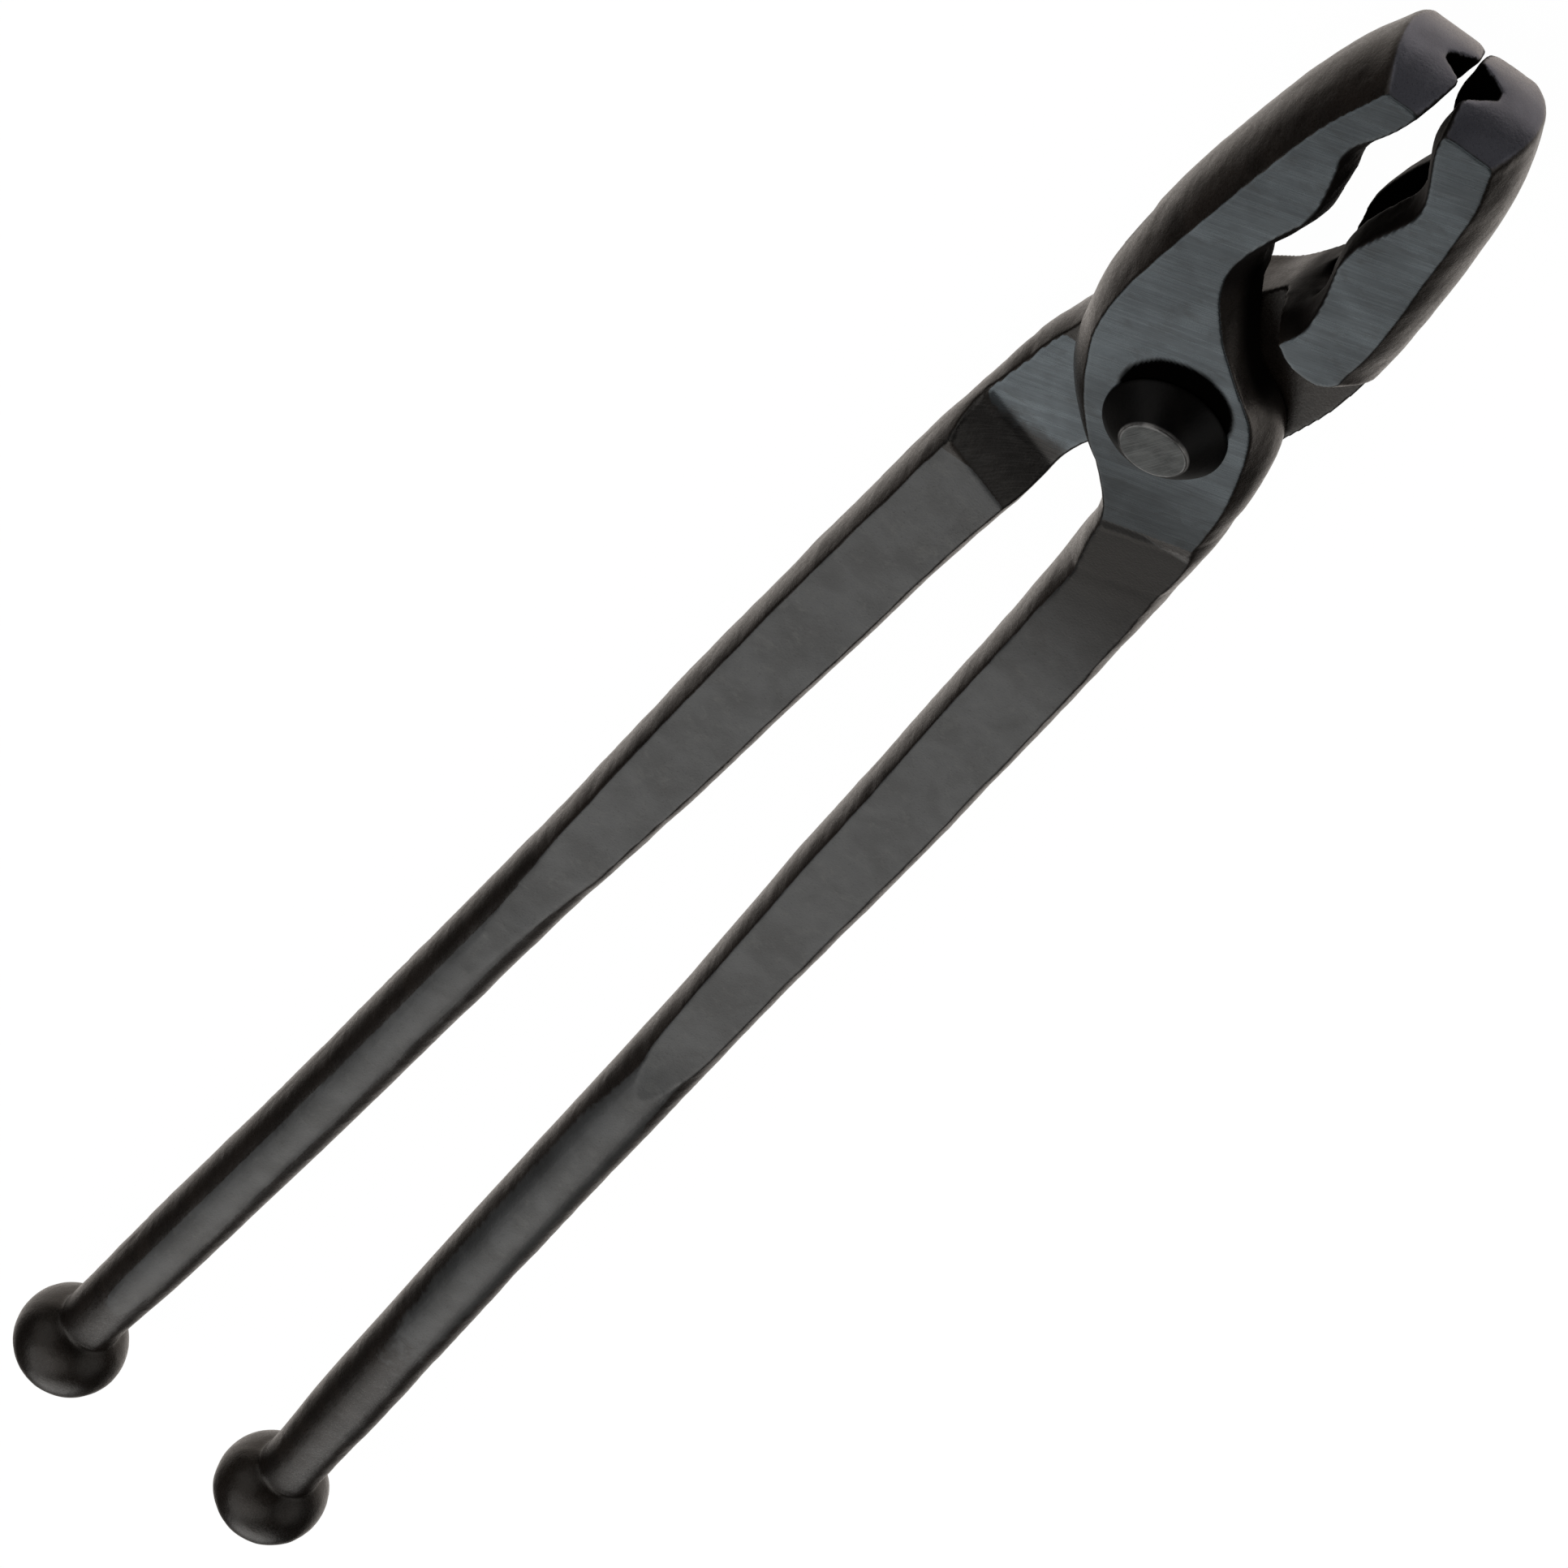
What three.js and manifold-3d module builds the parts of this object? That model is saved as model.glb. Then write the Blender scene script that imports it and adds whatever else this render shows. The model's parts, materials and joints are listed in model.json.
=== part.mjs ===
// Blacksmith tongs: two drop-forged arms crossed on a rivet.
//
// Frame: millimetres, +Z up. The origin is the centre of the tool's bounding box. +X runs
// along the tool towards the jaw tips, the rivet axis is parallel to Z and crosses the X
// axis at PIVOT_X, and the tongs lie flat in the XY plane. The front arm has its jaw on the
// +Y side, its boss above the mid-plane and its rein on the -Y side. The rear arm is much
// the same shape turned half a turn about X, so its jaw is on the -Y side, its boss is below
// and its rein is on +Y. Both arms are drawn about the rivet axis, each as a front arm.

import * as THREE from 'three';
import { mergeVertices } from 'three/addons/utils/BufferGeometryUtils.js';
import Module from 'manifold-3d';

const wasm = await Module();
wasm.setup();

const { clamp } = THREE.MathUtils;

// ---------------------------------------------------------------- driving dimensions
const PIVOT_X = 114.906;       // the rivet axis, ahead of the middle of the tool
const HALF_JAW = 7.0;          // half the thickness of a jaw; a boss is this less BOSS_GAP
const BOSS_GAP = 0.15;         // each boss stops this far from the mid-plane
const HOLE_RADIUS = 4.1;       // rivet hole through each boss
const PIN_SEGMENTS = 48;       // round the rivet and its hole

// ---------------------------------------------------------------- solid helpers
function toManifold(geometry) {
  geometry.deleteAttribute('normal');
  geometry.deleteAttribute('uv');
  const merged = mergeVertices(geometry, 1e-4);
  return new wasm.Manifold(new wasm.Mesh({
    numProp: 3,
    vertProperties: new Float32Array(merged.attributes.position.array),
    triVerts: new Uint32Array(merged.index.array),
  }));
}

function toGeometry(solid) {
  const { vertProperties, triVerts } = solid.getMesh();
  const geometry = new THREE.BufferGeometry();
  geometry.setAttribute(
    'position',
    new THREE.BufferAttribute(new Float32Array(vertProperties), 3),
  );
  geometry.setIndex(new THREE.BufferAttribute(new Uint32Array(triVerts), 1));
  return geometry;
}

// Closed solid over rings of the same number of points, each ring running counter-clockwise
// seen from the far end of the stack. flatten turns a ring's point into the 2D point that
// its end cap is triangulated from.
function skin(rings, flatten) {
  const count = rings[0].length;
  const lastRing = rings.length - 1;
  const index = [];
  for (let r = 0; r < lastRing; r++) {
    for (let i = 0; i < count; i++) {
      const near = r * count + i;
      const nearNext = r * count + ((i + 1) % count);
      const far = near + count;
      const farNext = nearNext + count;
      index.push(near, nearNext, farNext, near, farNext, far);
    }
  }
  const capTriangles = (ring) => THREE.ShapeUtils.triangulateShape(ring.map(flatten), []);
  for (const [i, j, k] of capTriangles(rings[0])) index.push(i, k, j);
  const start = lastRing * count;
  for (const [i, j, k] of capTriangles(rings[lastRing])) {
    index.push(start + i, start + j, start + k);
  }
  const position = rings.flat().flatMap((point) => [point.x, point.y, point.z]);
  const geometry = new THREE.BufferGeometry();
  geometry.setAttribute('position', new THREE.Float32BufferAttribute(position, 3));
  geometry.setIndex(index);
  return toManifold(geometry);
}

const seenFromAbove = (point) => new THREE.Vector2(point.x, point.y);
const seenFromReinEnd = (point) => new THREE.Vector2(-point.y, point.z);

// Cylinder on the rivet axis, centred on the mid-plane.
const pin = (radius, length) => toManifold(
  new THREE.CylinderGeometry(radius, radius, length, PIN_SEGMENTS).rotateX(Math.PI / 2),
);

// ---------------------------------------------------------------- jaw and boss
// Outline of the jaw and boss, seen from +Z: from the inner tip corner along the gripping
// edge, round the boss, back along the outer edge to the tip.
// Each row: x,y on the top face (+Z); x,y at mid-thickness; x,y on the bottom face (-Z);
// notch depth; lean of the wall per mm of height near mid-thickness.
const FRONT_OUTLINE = [
  [60.1, 2.75, 62.7, 0.80, 59.8, -0.45, 2.9, 0.229],
  [58.4, 2.95, 60.6, 0.80, 58.4, -0.20, 2.9, 0.225],
  [56.2, 3.45, 58.3, 0.85, 57.0, 0.40, 2.9, 0.218],
  [54.1, 4.20, 56.0, 1.10, 55.4, 1.40, 2.9, 0.2],
  [51.3, 5.40, 53.0, 2.00, 52.8, 3.00, 2.8, 0.1],
  [48.9, 5.50, 50.4, 3.05, 50.0, 4.30, 2.8, 0],
  [47.1, 4.95, 47.4, 3.25, 47.5, 4.40, 2.8, 0],
  [43.4, 4.00, 44.0, 2.50, 44.6, 3.70, 3.0, 0],
  [40.2, 3.50, 39.7, 1.80, 38.9, 2.20, 3.0, 0],
  [37.5, 3.60, 36.6, 1.60, 35.6, 2.20, 3.0, 0],
  [33.0, 4.70, 32.5, 2.30, 31.3, 3.40, 2.9, 0],
  [27.3, 5.70, 27.6, 3.40, 27.3, 4.20, 2.2, 0],
  [24.2, 5.45, 24.6, 2.85, 24.2, 4.00, 0.5, 0],
  [21.1, 4.40, 21.6, 1.60, 20.6, 3.00, 0, 0],
  [18.1, 2.50, 18.4, 0.05, 17.9, 1.60, 0, 0],
  [15.3, 0.40, 15.6, -1.40, 15.0, 0.0, 0, 0],
  [12.7, -2.20, 12.8, -3.00, 12.3, -2.5, 0, 0],
  [9.7, -5.50, 9.9, -5.30, 9.7, -5.40, 0, 0],
  [7.1, -8.00, 8.2, -8.10, 8.2, -8.10, 0, 0],
  [3.0, -9.90, 6.1, -10.5, 6.1, -10.5, 0, -0.15],
  [-1.8, -11.3, 2.1, -12.5, 2.1, -12.5, 0, -0.35],
  [-7.0, -12.4, -4.5, -13.4, -4.5, -13.4, 0, -0.6],
  [-11.0, -12.8, -9.0, -13.8, -9.0, -13.8, 0, -0.6],
  [-14.0, -12.8, -13.0, -13.9, -13.0, -13.9, 0, -0.6],
  [-14.6, -11.4, -13.6, -12.9, -13.6, -12.9, 0, -0.5],
  [-14.8, -2.6, -14.8, -1.0, -14.8, -1.0, 0, 0],
  [-14.0, -0.80, -14.4, 1.40, -14.4, 1.40, 0, 0],
  [-11.7, 1.35, -12.9, 3.80, -12.9, 3.80, 0, 0],
  [-10.0, 3.30, -11.3, 6.00, -11.3, 6.00, 0, 0],
  [-7.3, 5.45, -8.4, 8.70, -8.4, 8.70, 0, 0],
  [-3.2, 8.10, -4.8, 11.0, -4.8, 11.0, 0, 0],
  [0.5, 9.95, -0.9, 12.45, -0.9, 12.45, 0, 0],
  [4.7, 11.6, 3.4, 13.5, 3.4, 13.5, 0, 0],
  [9.2, 12.45, 8.6, 14.5, 8.6, 14.5, 0, 0],
  [13.8, 12.6, 13.6, 14.9, 13.6, 14.9, 0, 0],
  [20.2, 12.3, 20.4, 15.0, 20.3, 11.4, 0, 0],
  [27.4, 11.7, 27.6, 14.8, 27.0, 11.4, 0, 0],
  [34.4, 11.1, 34.6, 14.3, 33.4, 10.95, 0, 0],
  [41.1, 10.4, 41.4, 13.6, 40.4, 10.15, 0, 0],
  [48.4, 9.60, 48.8, 12.7, 47.6, 9.40, 0, 0],
  [54.5, 8.40, 55.4, 11.35, 54.3, 8.50, 0, 0],
  [58.3, 7.35, 60.6, 9.60, 58.5, 7.25, 0, 0],
  [60.15, 6.85, 62.5, 8.80, 60.1, 6.75, 0, 0],
  [60.5, 6.45, 62.9, 8.35, 60.4, 6.30, 0, 0],
  [60.5, 5.60, 63.0, 7.40, 60.4, 5.40, 0, 0],
  [60.45, 3.60, 62.95, 1.70, 60.3, 0.30, 2.85, 0.229],
];

// Rows of the outline that differ on the rear arm, by row number.
const REAR_ROWS = {
  0: [60.0, 1.10, 62.7, -0.05, 60.1, 0.70, 3.45, 0],
  1: [58.4, 1.30, 60.6, -0.05, 58.6, 0.80, 3.45, 0],
  2: [56.6, 1.70, 58.3, -0.05, 57.4, 1.20, 3.45, 0],
  3: [55.0, 2.60, 56.0, 0.30, 55.6, 2.00, 3.3, 0],
  4: [52.4, 3.90, 53.0, 1.60, 52.8, 3.30, 3.1, 0],
  5: [49.6, 4.80, 50.4, 3.00, 50.0, 4.30, 3.0, 0],
  12: [25.4, 4.40, 24.6, 2.85, 24.2, 4.40, 0.5, 0],
  13: [22.4, 3.20, 21.6, 1.60, 20.6, 3.60, 0, 0],
  14: [19.4, 1.60, 18.4, 0.05, 17.9, 2.60, 0, 0],
  15: [17.0, -0.60, 15.6, -1.40, 15.0, 0.90, 0, 0],
  16: [14.3, -2.90, 12.8, -3.00, 12.3, -1.90, 0, 0],
  17: [10.6, -5.90, 9.9, -5.30, 9.7, -5.40, 0, 0],
  18: [7.4, -8.10, 8.2, -7.90, 8.2, -7.90, 0, 0],
  19: [3.0, -9.90, 5.9, -9.90, 5.9, -9.90, 0, -0.2],
  20: [-1.8, -11.3, 1.6, -11.6, 1.6, -11.6, 0, -0.3],
  21: [-7.0, -12.4, -3.8, -12.3, -3.8, -12.3, 0, -0.45],
  22: [-11.0, -12.8, -7.8, -13.1, -7.8, -13.1, 0, -0.55],
  23: [-14.0, -12.8, -12.0, -13.4, -12.0, -13.4, 0, -0.55],
  24: [-14.6, -11.4, -13.2, -12.6, -13.2, -12.6, 0, -0.45],
  45: [60.45, 2.60, 62.95, 0.60, 60.4, 1.50, 3.4, 0],
};

// What sets the two arms apart. notch is the V-notch along the gripping face: the height of
// its floor and its reach above and below that. levels are the heights of the outline rings.
// slim is how much narrower the rein's root is on its outer side.
const FRONT_ARM = {
  outline: FRONT_OUTLINE,
  notch: { floor: -0.4, above: 1.9, below: 2.7 },
  levels: [
    -7.0, -6.4, -5.3, -4.2, -3.1, -1.9, -0.85, 0, 0.7, 1.5, 2.7, 3.9, 5.1, 6.2, 7.0,
  ],
  slim: 0,
};
const REAR_ARM = {
  outline: FRONT_OUTLINE.map((row, i) => REAR_ROWS[i] ?? row),
  notch: { floor: 0, above: 3.0, below: 3.0 },
  levels: [-7.0, -6.4, -5.2, -4.0, -3.0, -1.8, -0.55, 0.55, 1.8, 3.0, 4.0, 5.0, 6.2, 7.0],
  slim: 0.5,
};

// The notch would be this much deeper if its flat floor ran on to a sharp V.
const NOTCH_SHARPNESS = 1.25;

// Curve steps from each outline row to the next, by their distance at mid-thickness.
const OUTLINE_STEPS = FRONT_OUTLINE.map((row, i) => {
  const next = FRONT_OUTLINE[(i + 1) % FRONT_OUTLINE.length];
  const distance = Math.hypot(row[2] - next[2], row[3] - next[3]);
  if (distance > 5.5) return 3;
  return distance > 1.3 ? 2 : 1;
});

function outlinePoint(row, z, notch) {
  const [topX, topY, midX, midY, bottomX, bottomY, notchDepth, lean] = row;
  const [faceX, faceY] = z >= 0 ? [topX, topY] : [bottomX, bottomY];
  const towardsFace = (z / HALF_JAW) ** 2;
  const reach = z > notch.floor ? notch.above : notch.below;
  const intoNotch = 1 - Math.abs(z - notch.floor) / reach;
  const x = midX + (faceX - midX) * towardsFace;
  const y = midY + (faceY - midY) * towardsFace
    + lean * z * (1 - Math.abs(z) / HALF_JAW)
    + notchDepth * clamp(NOTCH_SHARPNESS * intoNotch, 0, 1);
  return new THREE.Vector3(x, y, z);
}

function outlineRing({ outline, notch }, z) {
  const control = outline.map((row) => outlinePoint(row, z, notch));
  const curve = new THREE.CatmullRomCurve3(control, true, 'centripetal');
  const ring = [];
  OUTLINE_STEPS.forEach((steps, i) => {
    for (let s = 0; s < steps; s++) {
      ring.push(curve.getPoint((i + s / steps) / control.length).setZ(z));
    }
  });
  return ring.reverse();
}

const jawAndBoss = (form) => skin(
  form.levels.map((z) => outlineRing(form, z)),
  seenFromAbove,
);

// End of the lower half of the jaw, where it clears the other arm's boss.
// Each row: x,y at mid-thickness; x,y on the bottom face.
const SHOULDER = [
  [27.0, -12.0, 27.0, -12.0],
  [22.8, -2.0, 23.2, -2.0],
  [20.0, 4.4, 20.4, 3.7],
  [19.2, 5.8, 19.4, 4.9],
  [18.6, 7.4, 18.7, 6.5],
  [18.3, 9.4, 18.5, 8.4],
  [18.2, 11.6, 18.9, 9.7],
  [18.5, 13.4, 19.9, 10.8],
  [19.6, 15.1, 22.0, 12.0],
  [22.6, 19.0, 25.6, 19.0],
];
// x,y of the clearance's corners, round behind the boss and clear of the arm.
const CLEARANCE_CORNERS = [[-40, 30], [-40, -30], [27, -30]];
const CLEARANCE_LEVELS = [-9, -7, -6.2, -5, -3.5, -1.8, BOSS_GAP];

// Everything below the boss and behind the shoulder is cleared for the other arm.
function clearanceRing(z) {
  const towardsFace = Math.min(1, (z / HALF_JAW) ** 2);
  const shoulder = SHOULDER.map(([midX, midY, bottomX, bottomY]) => [
    midX + (bottomX - midX) * towardsFace,
    midY + (bottomY - midY) * towardsFace,
  ]);
  return [...shoulder, ...CLEARANCE_CORNERS].map(([x, y]) => new THREE.Vector3(x, y, z));
}

const clearance = () => skin(CLEARANCE_LEVELS.map(clearanceRing), seenFromAbove);

// ---------------------------------------------------------------- rein
// Sides of the rein: x, inner side y, outer side y.
const REIN_SIDES = [
  [-2, 6.0, -12.3], [-5, 5.6, -13.3], [-8, 4.8, -14.2], [-10, 3.9, -14.7], [-12, 2.45, -15.0],
  [-14, 0.55, -15.2], [-16, -0.95, -15.35], [-18, -1.95, -15.45], [-20, -2.5, -15.6],
  [-22.5, -2.95, -15.8], [-26.5, -3.3, -16.05], [-33, -3.95, -16.35], [-40, -4.4, -16.5],
  [-52, -5.0, -16.8], [-60, -5.22, -17.0], [-76, -5.75, -17.3], [-92, -6.3, -17.58],
  [-108, -6.72, -17.68], [-116, -7.15, -17.71], [-124, -7.49, -17.71], [-132, -7.83, -17.77],
  [-140, -8.18, -17.92], [-148, -8.4, -18.1], [-164, -8.8, -18.4], [-188, -9.34, -18.86],
  [-204, -9.7, -19.2], [-220, -10.16, -19.64], [-236, -10.68, -20.12], [-252, -11.15, -20.55],
  [-260, -11.47, -20.73], [-268, -11.95, -20.81], [-274, -12.25, -20.95], [-281, -12.4, -21.0],
];
// Stations of the rein: x, height of the top flat, of the bottom flat, of the section
// centre, height of the side curve above it, lean of the top towards +Y, and depth of the
// side curve below the centre.
const REIN_STATIONS = [
  [-6.5, 7.0, 0.15, 3.0, 6.4, 0.7, 6.25],
  [-10.5, 7.0, 0.15, 3.0, 6.4, 0.7, 6.25],
  [-13.5, 7.0, 0.15, 3.0, 6.35, 0.6, 6.25],
  [-16.4, 7.0, 0.15, 3.0, 6.35, 0.45, 6.25],
  [-19.0, 6.66, 0.15, 2.8, 6.5, 0.3, 6.1],
  [-21.6, 6.3, 0.15, 2.3, 6.8, 0.2, 6.0],
  [-23.2, 6.08, -0.5, 1.7, 7.2, 0.1, 6.2],
  [-24.8, 5.86, -1.35, 1.2, 7.4, 0, 6.5],
  [-26.4, 5.65, -2.5, 0.8, 7.4, 0, 6.9],
  [-28.0, 5.45, -4.05, 0.4, 7.3, 0, 7.2],
  [-33.0, 4.95, -4.1, 0.2, 7.0, 0, 7.0],
  [-40.0, 4.5, -4.1, 0.1, 6.8, 0, 6.8],
  [-49.0, 4.2, -4.08, 0.05, 6.75, 0, 6.75],
  [-60.0, 4.06, -4.05, 0, 6.75, 0, 6.75],
  [-80.0, 4.05, -4.05, 0, 6.45, 0, 6.45],
  [-100.0, 4.05, -4.0, 0, 6.17, 0, 6.17],
  [-116.0, 4.07, -3.97, 0.03, 5.95, 0, 5.95],
  [-126.0, 4.1, -3.96, 0.06, 5.92, 0, 5.7],
  [-130.0, 4.1, -3.94, 0.07, 5.9, 0, 5.3],
  [-134.0, 4.1, -3.92, 0.09, 5.87, 0, 4.87],
  [-140.0, 4.1, -4.0, 0.12, 5.65, 0, 4.79],
  [-145.0, 4.12, -4.2, 0.15, 5.42, 0, 4.75],
  [-149.0, 4.2, -4.3, 0.17, 5.13, 0, 4.74],
  [-152.5, 4.38, -4.38, 0.19, 4.84, 0, 4.78],
  [-156.0, 4.72, -4.47, 0.2, 4.79, 0, 4.79],
  [-164.0, 5.6, -5.0, 0.24, 4.8, 0, 4.8],
  [-188.0, 6.0, -5.0, 0.35, 4.77, 0, 4.77],
  [-212.0, 6.2, -5.0, 0.46, 4.75, 0, 4.75],
  [-236.0, 6.4, -5.0, 0.58, 4.72, 0, 4.72],
  [-252.0, 6.6, -5.0, 0.65, 4.68, 0, 4.68],
  [-260.0, 6.6, -5.0, 0.69, 4.6, 0, 4.6],
  [-268.0, 6.6, -5.0, 0.73, 4.42, 0, 4.42],
  [-274.0, 6.6, -5.0, 0.76, 4.34, 0, 4.34],
  [-281.0, 6.6, -5.0, 0.79, 4.3, 0, 4.3],
];
const BEND_SKEW = -0.41;       // the bend lines of the root run this far off square
const SKEW_FADE = [-60, -30];  // x where the skew starts, x where it is full
const SLIM_FADE = [-28, -18];  // the same for the slimming of the root
const SIDE_STEPS = 8;          // round each side curve
const FLAT_STEPS = 3;          // across the top and the bottom
const MAX_SINE = 0.985;        // keeps the side curves from meeting in a point
const ROUND_ANGLE = 1.35;      // a side curve that climbs past this rounds over the flat

const BALL_RADIUS = 7.83;                // ball end of the rein
const BALL_CENTRE = [-285, -16.85, 0.8];

// Value of a column at x, from rows in order of falling x.
function interpolate(rows, x, column) {
  if (x >= rows[0][0]) return rows[0][column];
  for (let i = 0; i + 1 < rows.length; i++) {
    const [ahead, behind] = [rows[i], rows[i + 1]];
    if (x >= behind[0]) {
      const rise = behind[column] - ahead[column];
      return ahead[column] + (rise * (ahead[0] - x)) / (ahead[0] - behind[0]);
    }
  }
  return rows[rows.length - 1][column];
}

// 0 at start, 1 at full and level beyond them.
const fade = (x, [start, full]) => clamp((x - start) / (full - start), 0, 1);

function reinRing([stationX, top, bottom, centre, rise, lean, drop], slim) {
  const innerAt = (x) => interpolate(REIN_SIDES, x, 1);
  const outerAt = (x) => interpolate(REIN_SIDES, x, 2) + slim * fade(x, SLIM_FADE);
  const skew = BEND_SKEW * fade(stationX, SKEW_FADE);
  const halfWidth = (innerAt(stationX) - outerAt(stationX)) / 2;

  // across runs from -1 at the outer side to 1 at the inner side
  const pointAt = (across, z) => {
    const x = stationX + skew * across * halfWidth;
    const inner = innerAt(x);
    const outer = outerAt(x);
    const shift = (lean * Math.max(0, z - centre)) / Math.max(1, top - centre);
    return new THREE.Vector3(x, (inner + outer) / 2 + (across * (inner - outer)) / 2 + shift, z);
  };
  const heightAt = (angle) => {
    const sine = Math.sin(angle);
    return clamp(centre + (sine > 0 ? rise : drop) * sine, bottom, top);
  };

  // angles at which the flats cut the side curve
  const topAngle = Math.asin(Math.min(MAX_SINE, (top - centre) / rise));
  const bottomAngle = Math.asin(Math.max(-MAX_SINE, (bottom - centre) / drop));

  // up the inner side and over the top, then down the outer side and under the bottom
  const ring = [];
  for (const [side, from, to] of [[1, bottomAngle, topAngle], [-1, topAngle, bottomAngle]]) {
    for (let i = 0; i < SIDE_STEPS; i++) {
      const angle = from + ((to - from) * i) / SIDE_STEPS;
      ring.push(pointAt(side * Math.cos(angle), heightAt(angle)));
    }
    for (let i = 0; i < FLAT_STEPS; i++) {
      if (side * to > ROUND_ANGLE) {
        const angle = to + ((side * Math.PI - 2 * to) * i) / FLAT_STEPS;
        ring.push(pointAt(side * Math.cos(angle), heightAt(angle)));
      } else {
        ring.push(pointAt(side * Math.cos(to) * (1 - (2 * i) / FLAT_STEPS), heightAt(to)));
      }
    }
  }
  return ring.reverse();
}

const rein = (slim) => skin(
  REIN_STATIONS.map((station) => reinRing(station, slim)),
  seenFromReinEnd,
);

const ball = () => toManifold(
  new THREE.SphereGeometry(BALL_RADIUS, 32, 20).translate(...BALL_CENTRE),
);

// ---------------------------------------------------------------- arm
const arm = (form) => toGeometry(
  jawAndBoss(form)
    .subtract(clearance())
    .add(rein(form.slim))
    .add(ball())
    .subtract(pin(HOLE_RADIUS, 4 * HALF_JAW)),
);

// ---------------------------------------------------------------- rivet
const SHANK_RADIUS = 4.0;
const SHANK_OVERLAP = 0.5;     // the shank runs this far into each head
const HEAD_CLEARANCE = 0.1;    // under each head
const HEAD_BASE_RADIUS = 7.2;  // cone-shaped head where it meets the boss
const HEAD_TOP_RADIUS = 4.05;  // top of the cone, outside the bevel
const HEAD_HEIGHT = 3.85;
const HEAD_RIM = 0.2;          // height of the upright rim under the cone
const BEVEL_HEIGHT = 0.25;     // bevel round the flat top
const BEVEL_WIDTH = 0.3;
const HEAD_OFFSET = [-0.38, -1.1, 0]; // the upper head sits this far off the shank
const HEAD_TILT = 0.12;        // slope of the flat top, rising towards the jaws

const HEAD_BASE = HALF_JAW + HEAD_CLEARANCE;

function upperHead() {
  const top = HEAD_BASE + HEAD_HEIGHT;
  const profile = [
    [0, HEAD_BASE],
    [HEAD_BASE_RADIUS, HEAD_BASE],
    [HEAD_BASE_RADIUS, HEAD_BASE + HEAD_RIM],
    [HEAD_TOP_RADIUS, top - BEVEL_HEIGHT],
    [HEAD_TOP_RADIUS - BEVEL_WIDTH, top],
    [0, top],
  ].map(([radius, z]) => new THREE.Vector2(radius, z));
  const geometry = new THREE.LatheGeometry(profile, PIN_SEGMENTS).rotateX(Math.PI / 2);
  const points = geometry.attributes.position;
  for (let i = 0; i < points.count; i++) {
    const z = points.getZ(i);
    const share = Math.max(0, (z - HEAD_BASE) / HEAD_HEIGHT) ** 2;
    points.setZ(i, z + HEAD_TILT * points.getX(i) * share);
  }
  return toManifold(geometry.translate(...HEAD_OFFSET));
}

function rivet() {
  const head = upperHead();
  const shank = pin(SHANK_RADIUS, 2 * (HEAD_BASE + SHANK_OVERLAP));
  return toGeometry(shank.add(head).add(head.rotate([180, 0, 0])));
}

// ---------------------------------------------------------------- assembly
const FORGED_STEEL = { color: 0x4a4e50, roughness: 0.45, metalness: 0.9 };
const RIVET_STEEL = { color: 0x2a2928, roughness: 0.4, metalness: 0.9 };

function piece(name, geometry, look) {
  geometry.computeVertexNormals();
  const mesh = new THREE.Mesh(geometry, new THREE.MeshStandardMaterial(look));
  mesh.name = name;
  return mesh;
}

const frontArm = piece('front_arm', arm(FRONT_ARM), FORGED_STEEL);
const rearArm = piece('rear_arm', arm(REAR_ARM), FORGED_STEEL);
rearArm.rotation.x = Math.PI;

const tongs = new THREE.Group();
tongs.name = 'tongs';
tongs.position.x = PIVOT_X;
tongs.add(frontArm, rearArm, piece('pivot_rivet', rivet(), RIVET_STEEL));

export default tongs;
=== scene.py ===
"""Blacksmith tongs: the fine surface, materials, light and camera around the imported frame."""

import json
import math

import bpy
import numpy as np
from mathutils import Matrix, Vector

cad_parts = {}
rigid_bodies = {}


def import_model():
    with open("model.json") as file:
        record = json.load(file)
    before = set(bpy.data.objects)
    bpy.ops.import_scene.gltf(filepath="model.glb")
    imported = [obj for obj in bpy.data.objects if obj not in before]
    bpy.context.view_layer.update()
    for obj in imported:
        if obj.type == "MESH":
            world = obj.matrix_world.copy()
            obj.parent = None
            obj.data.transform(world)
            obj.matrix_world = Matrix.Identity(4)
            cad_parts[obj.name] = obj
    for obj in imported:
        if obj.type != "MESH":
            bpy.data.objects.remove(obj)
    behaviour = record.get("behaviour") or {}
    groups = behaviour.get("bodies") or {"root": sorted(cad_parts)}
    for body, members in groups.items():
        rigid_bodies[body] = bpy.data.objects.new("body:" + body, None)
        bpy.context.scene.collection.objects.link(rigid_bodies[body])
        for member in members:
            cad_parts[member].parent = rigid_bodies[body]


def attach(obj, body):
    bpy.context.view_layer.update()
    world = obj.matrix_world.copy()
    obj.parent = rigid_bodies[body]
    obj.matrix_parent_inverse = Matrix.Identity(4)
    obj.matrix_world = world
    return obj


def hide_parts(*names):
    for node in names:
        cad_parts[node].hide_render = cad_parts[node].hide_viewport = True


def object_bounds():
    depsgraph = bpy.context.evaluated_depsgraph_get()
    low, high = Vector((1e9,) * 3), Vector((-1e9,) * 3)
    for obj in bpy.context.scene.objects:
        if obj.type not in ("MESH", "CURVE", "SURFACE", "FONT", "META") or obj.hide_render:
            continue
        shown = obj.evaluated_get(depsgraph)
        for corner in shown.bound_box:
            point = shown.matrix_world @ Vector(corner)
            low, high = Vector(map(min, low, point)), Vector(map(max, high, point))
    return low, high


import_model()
CAD_LO, CAD_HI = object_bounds()
MM = 0.001

# ------------------------------------------------------------------ shape tables (mm)
# The tables are drawn about the rivet axis, which stands at PIVOT in the shared frame.
PIVOT = np.array([114.906, 0.0, 0.0])
HALF_JAW = 7.0
BOSS_GAP = 0.15
HOLE_RADIUS = 4.2
BALL = (-285.0, -16.85, 0.8, 7.83)
BEND_SKEW = -0.41
REAR_SLIM = 0.5
HEAD_OFF, HEAD_TILT = (-0.38, -1.1), 0.12

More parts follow.
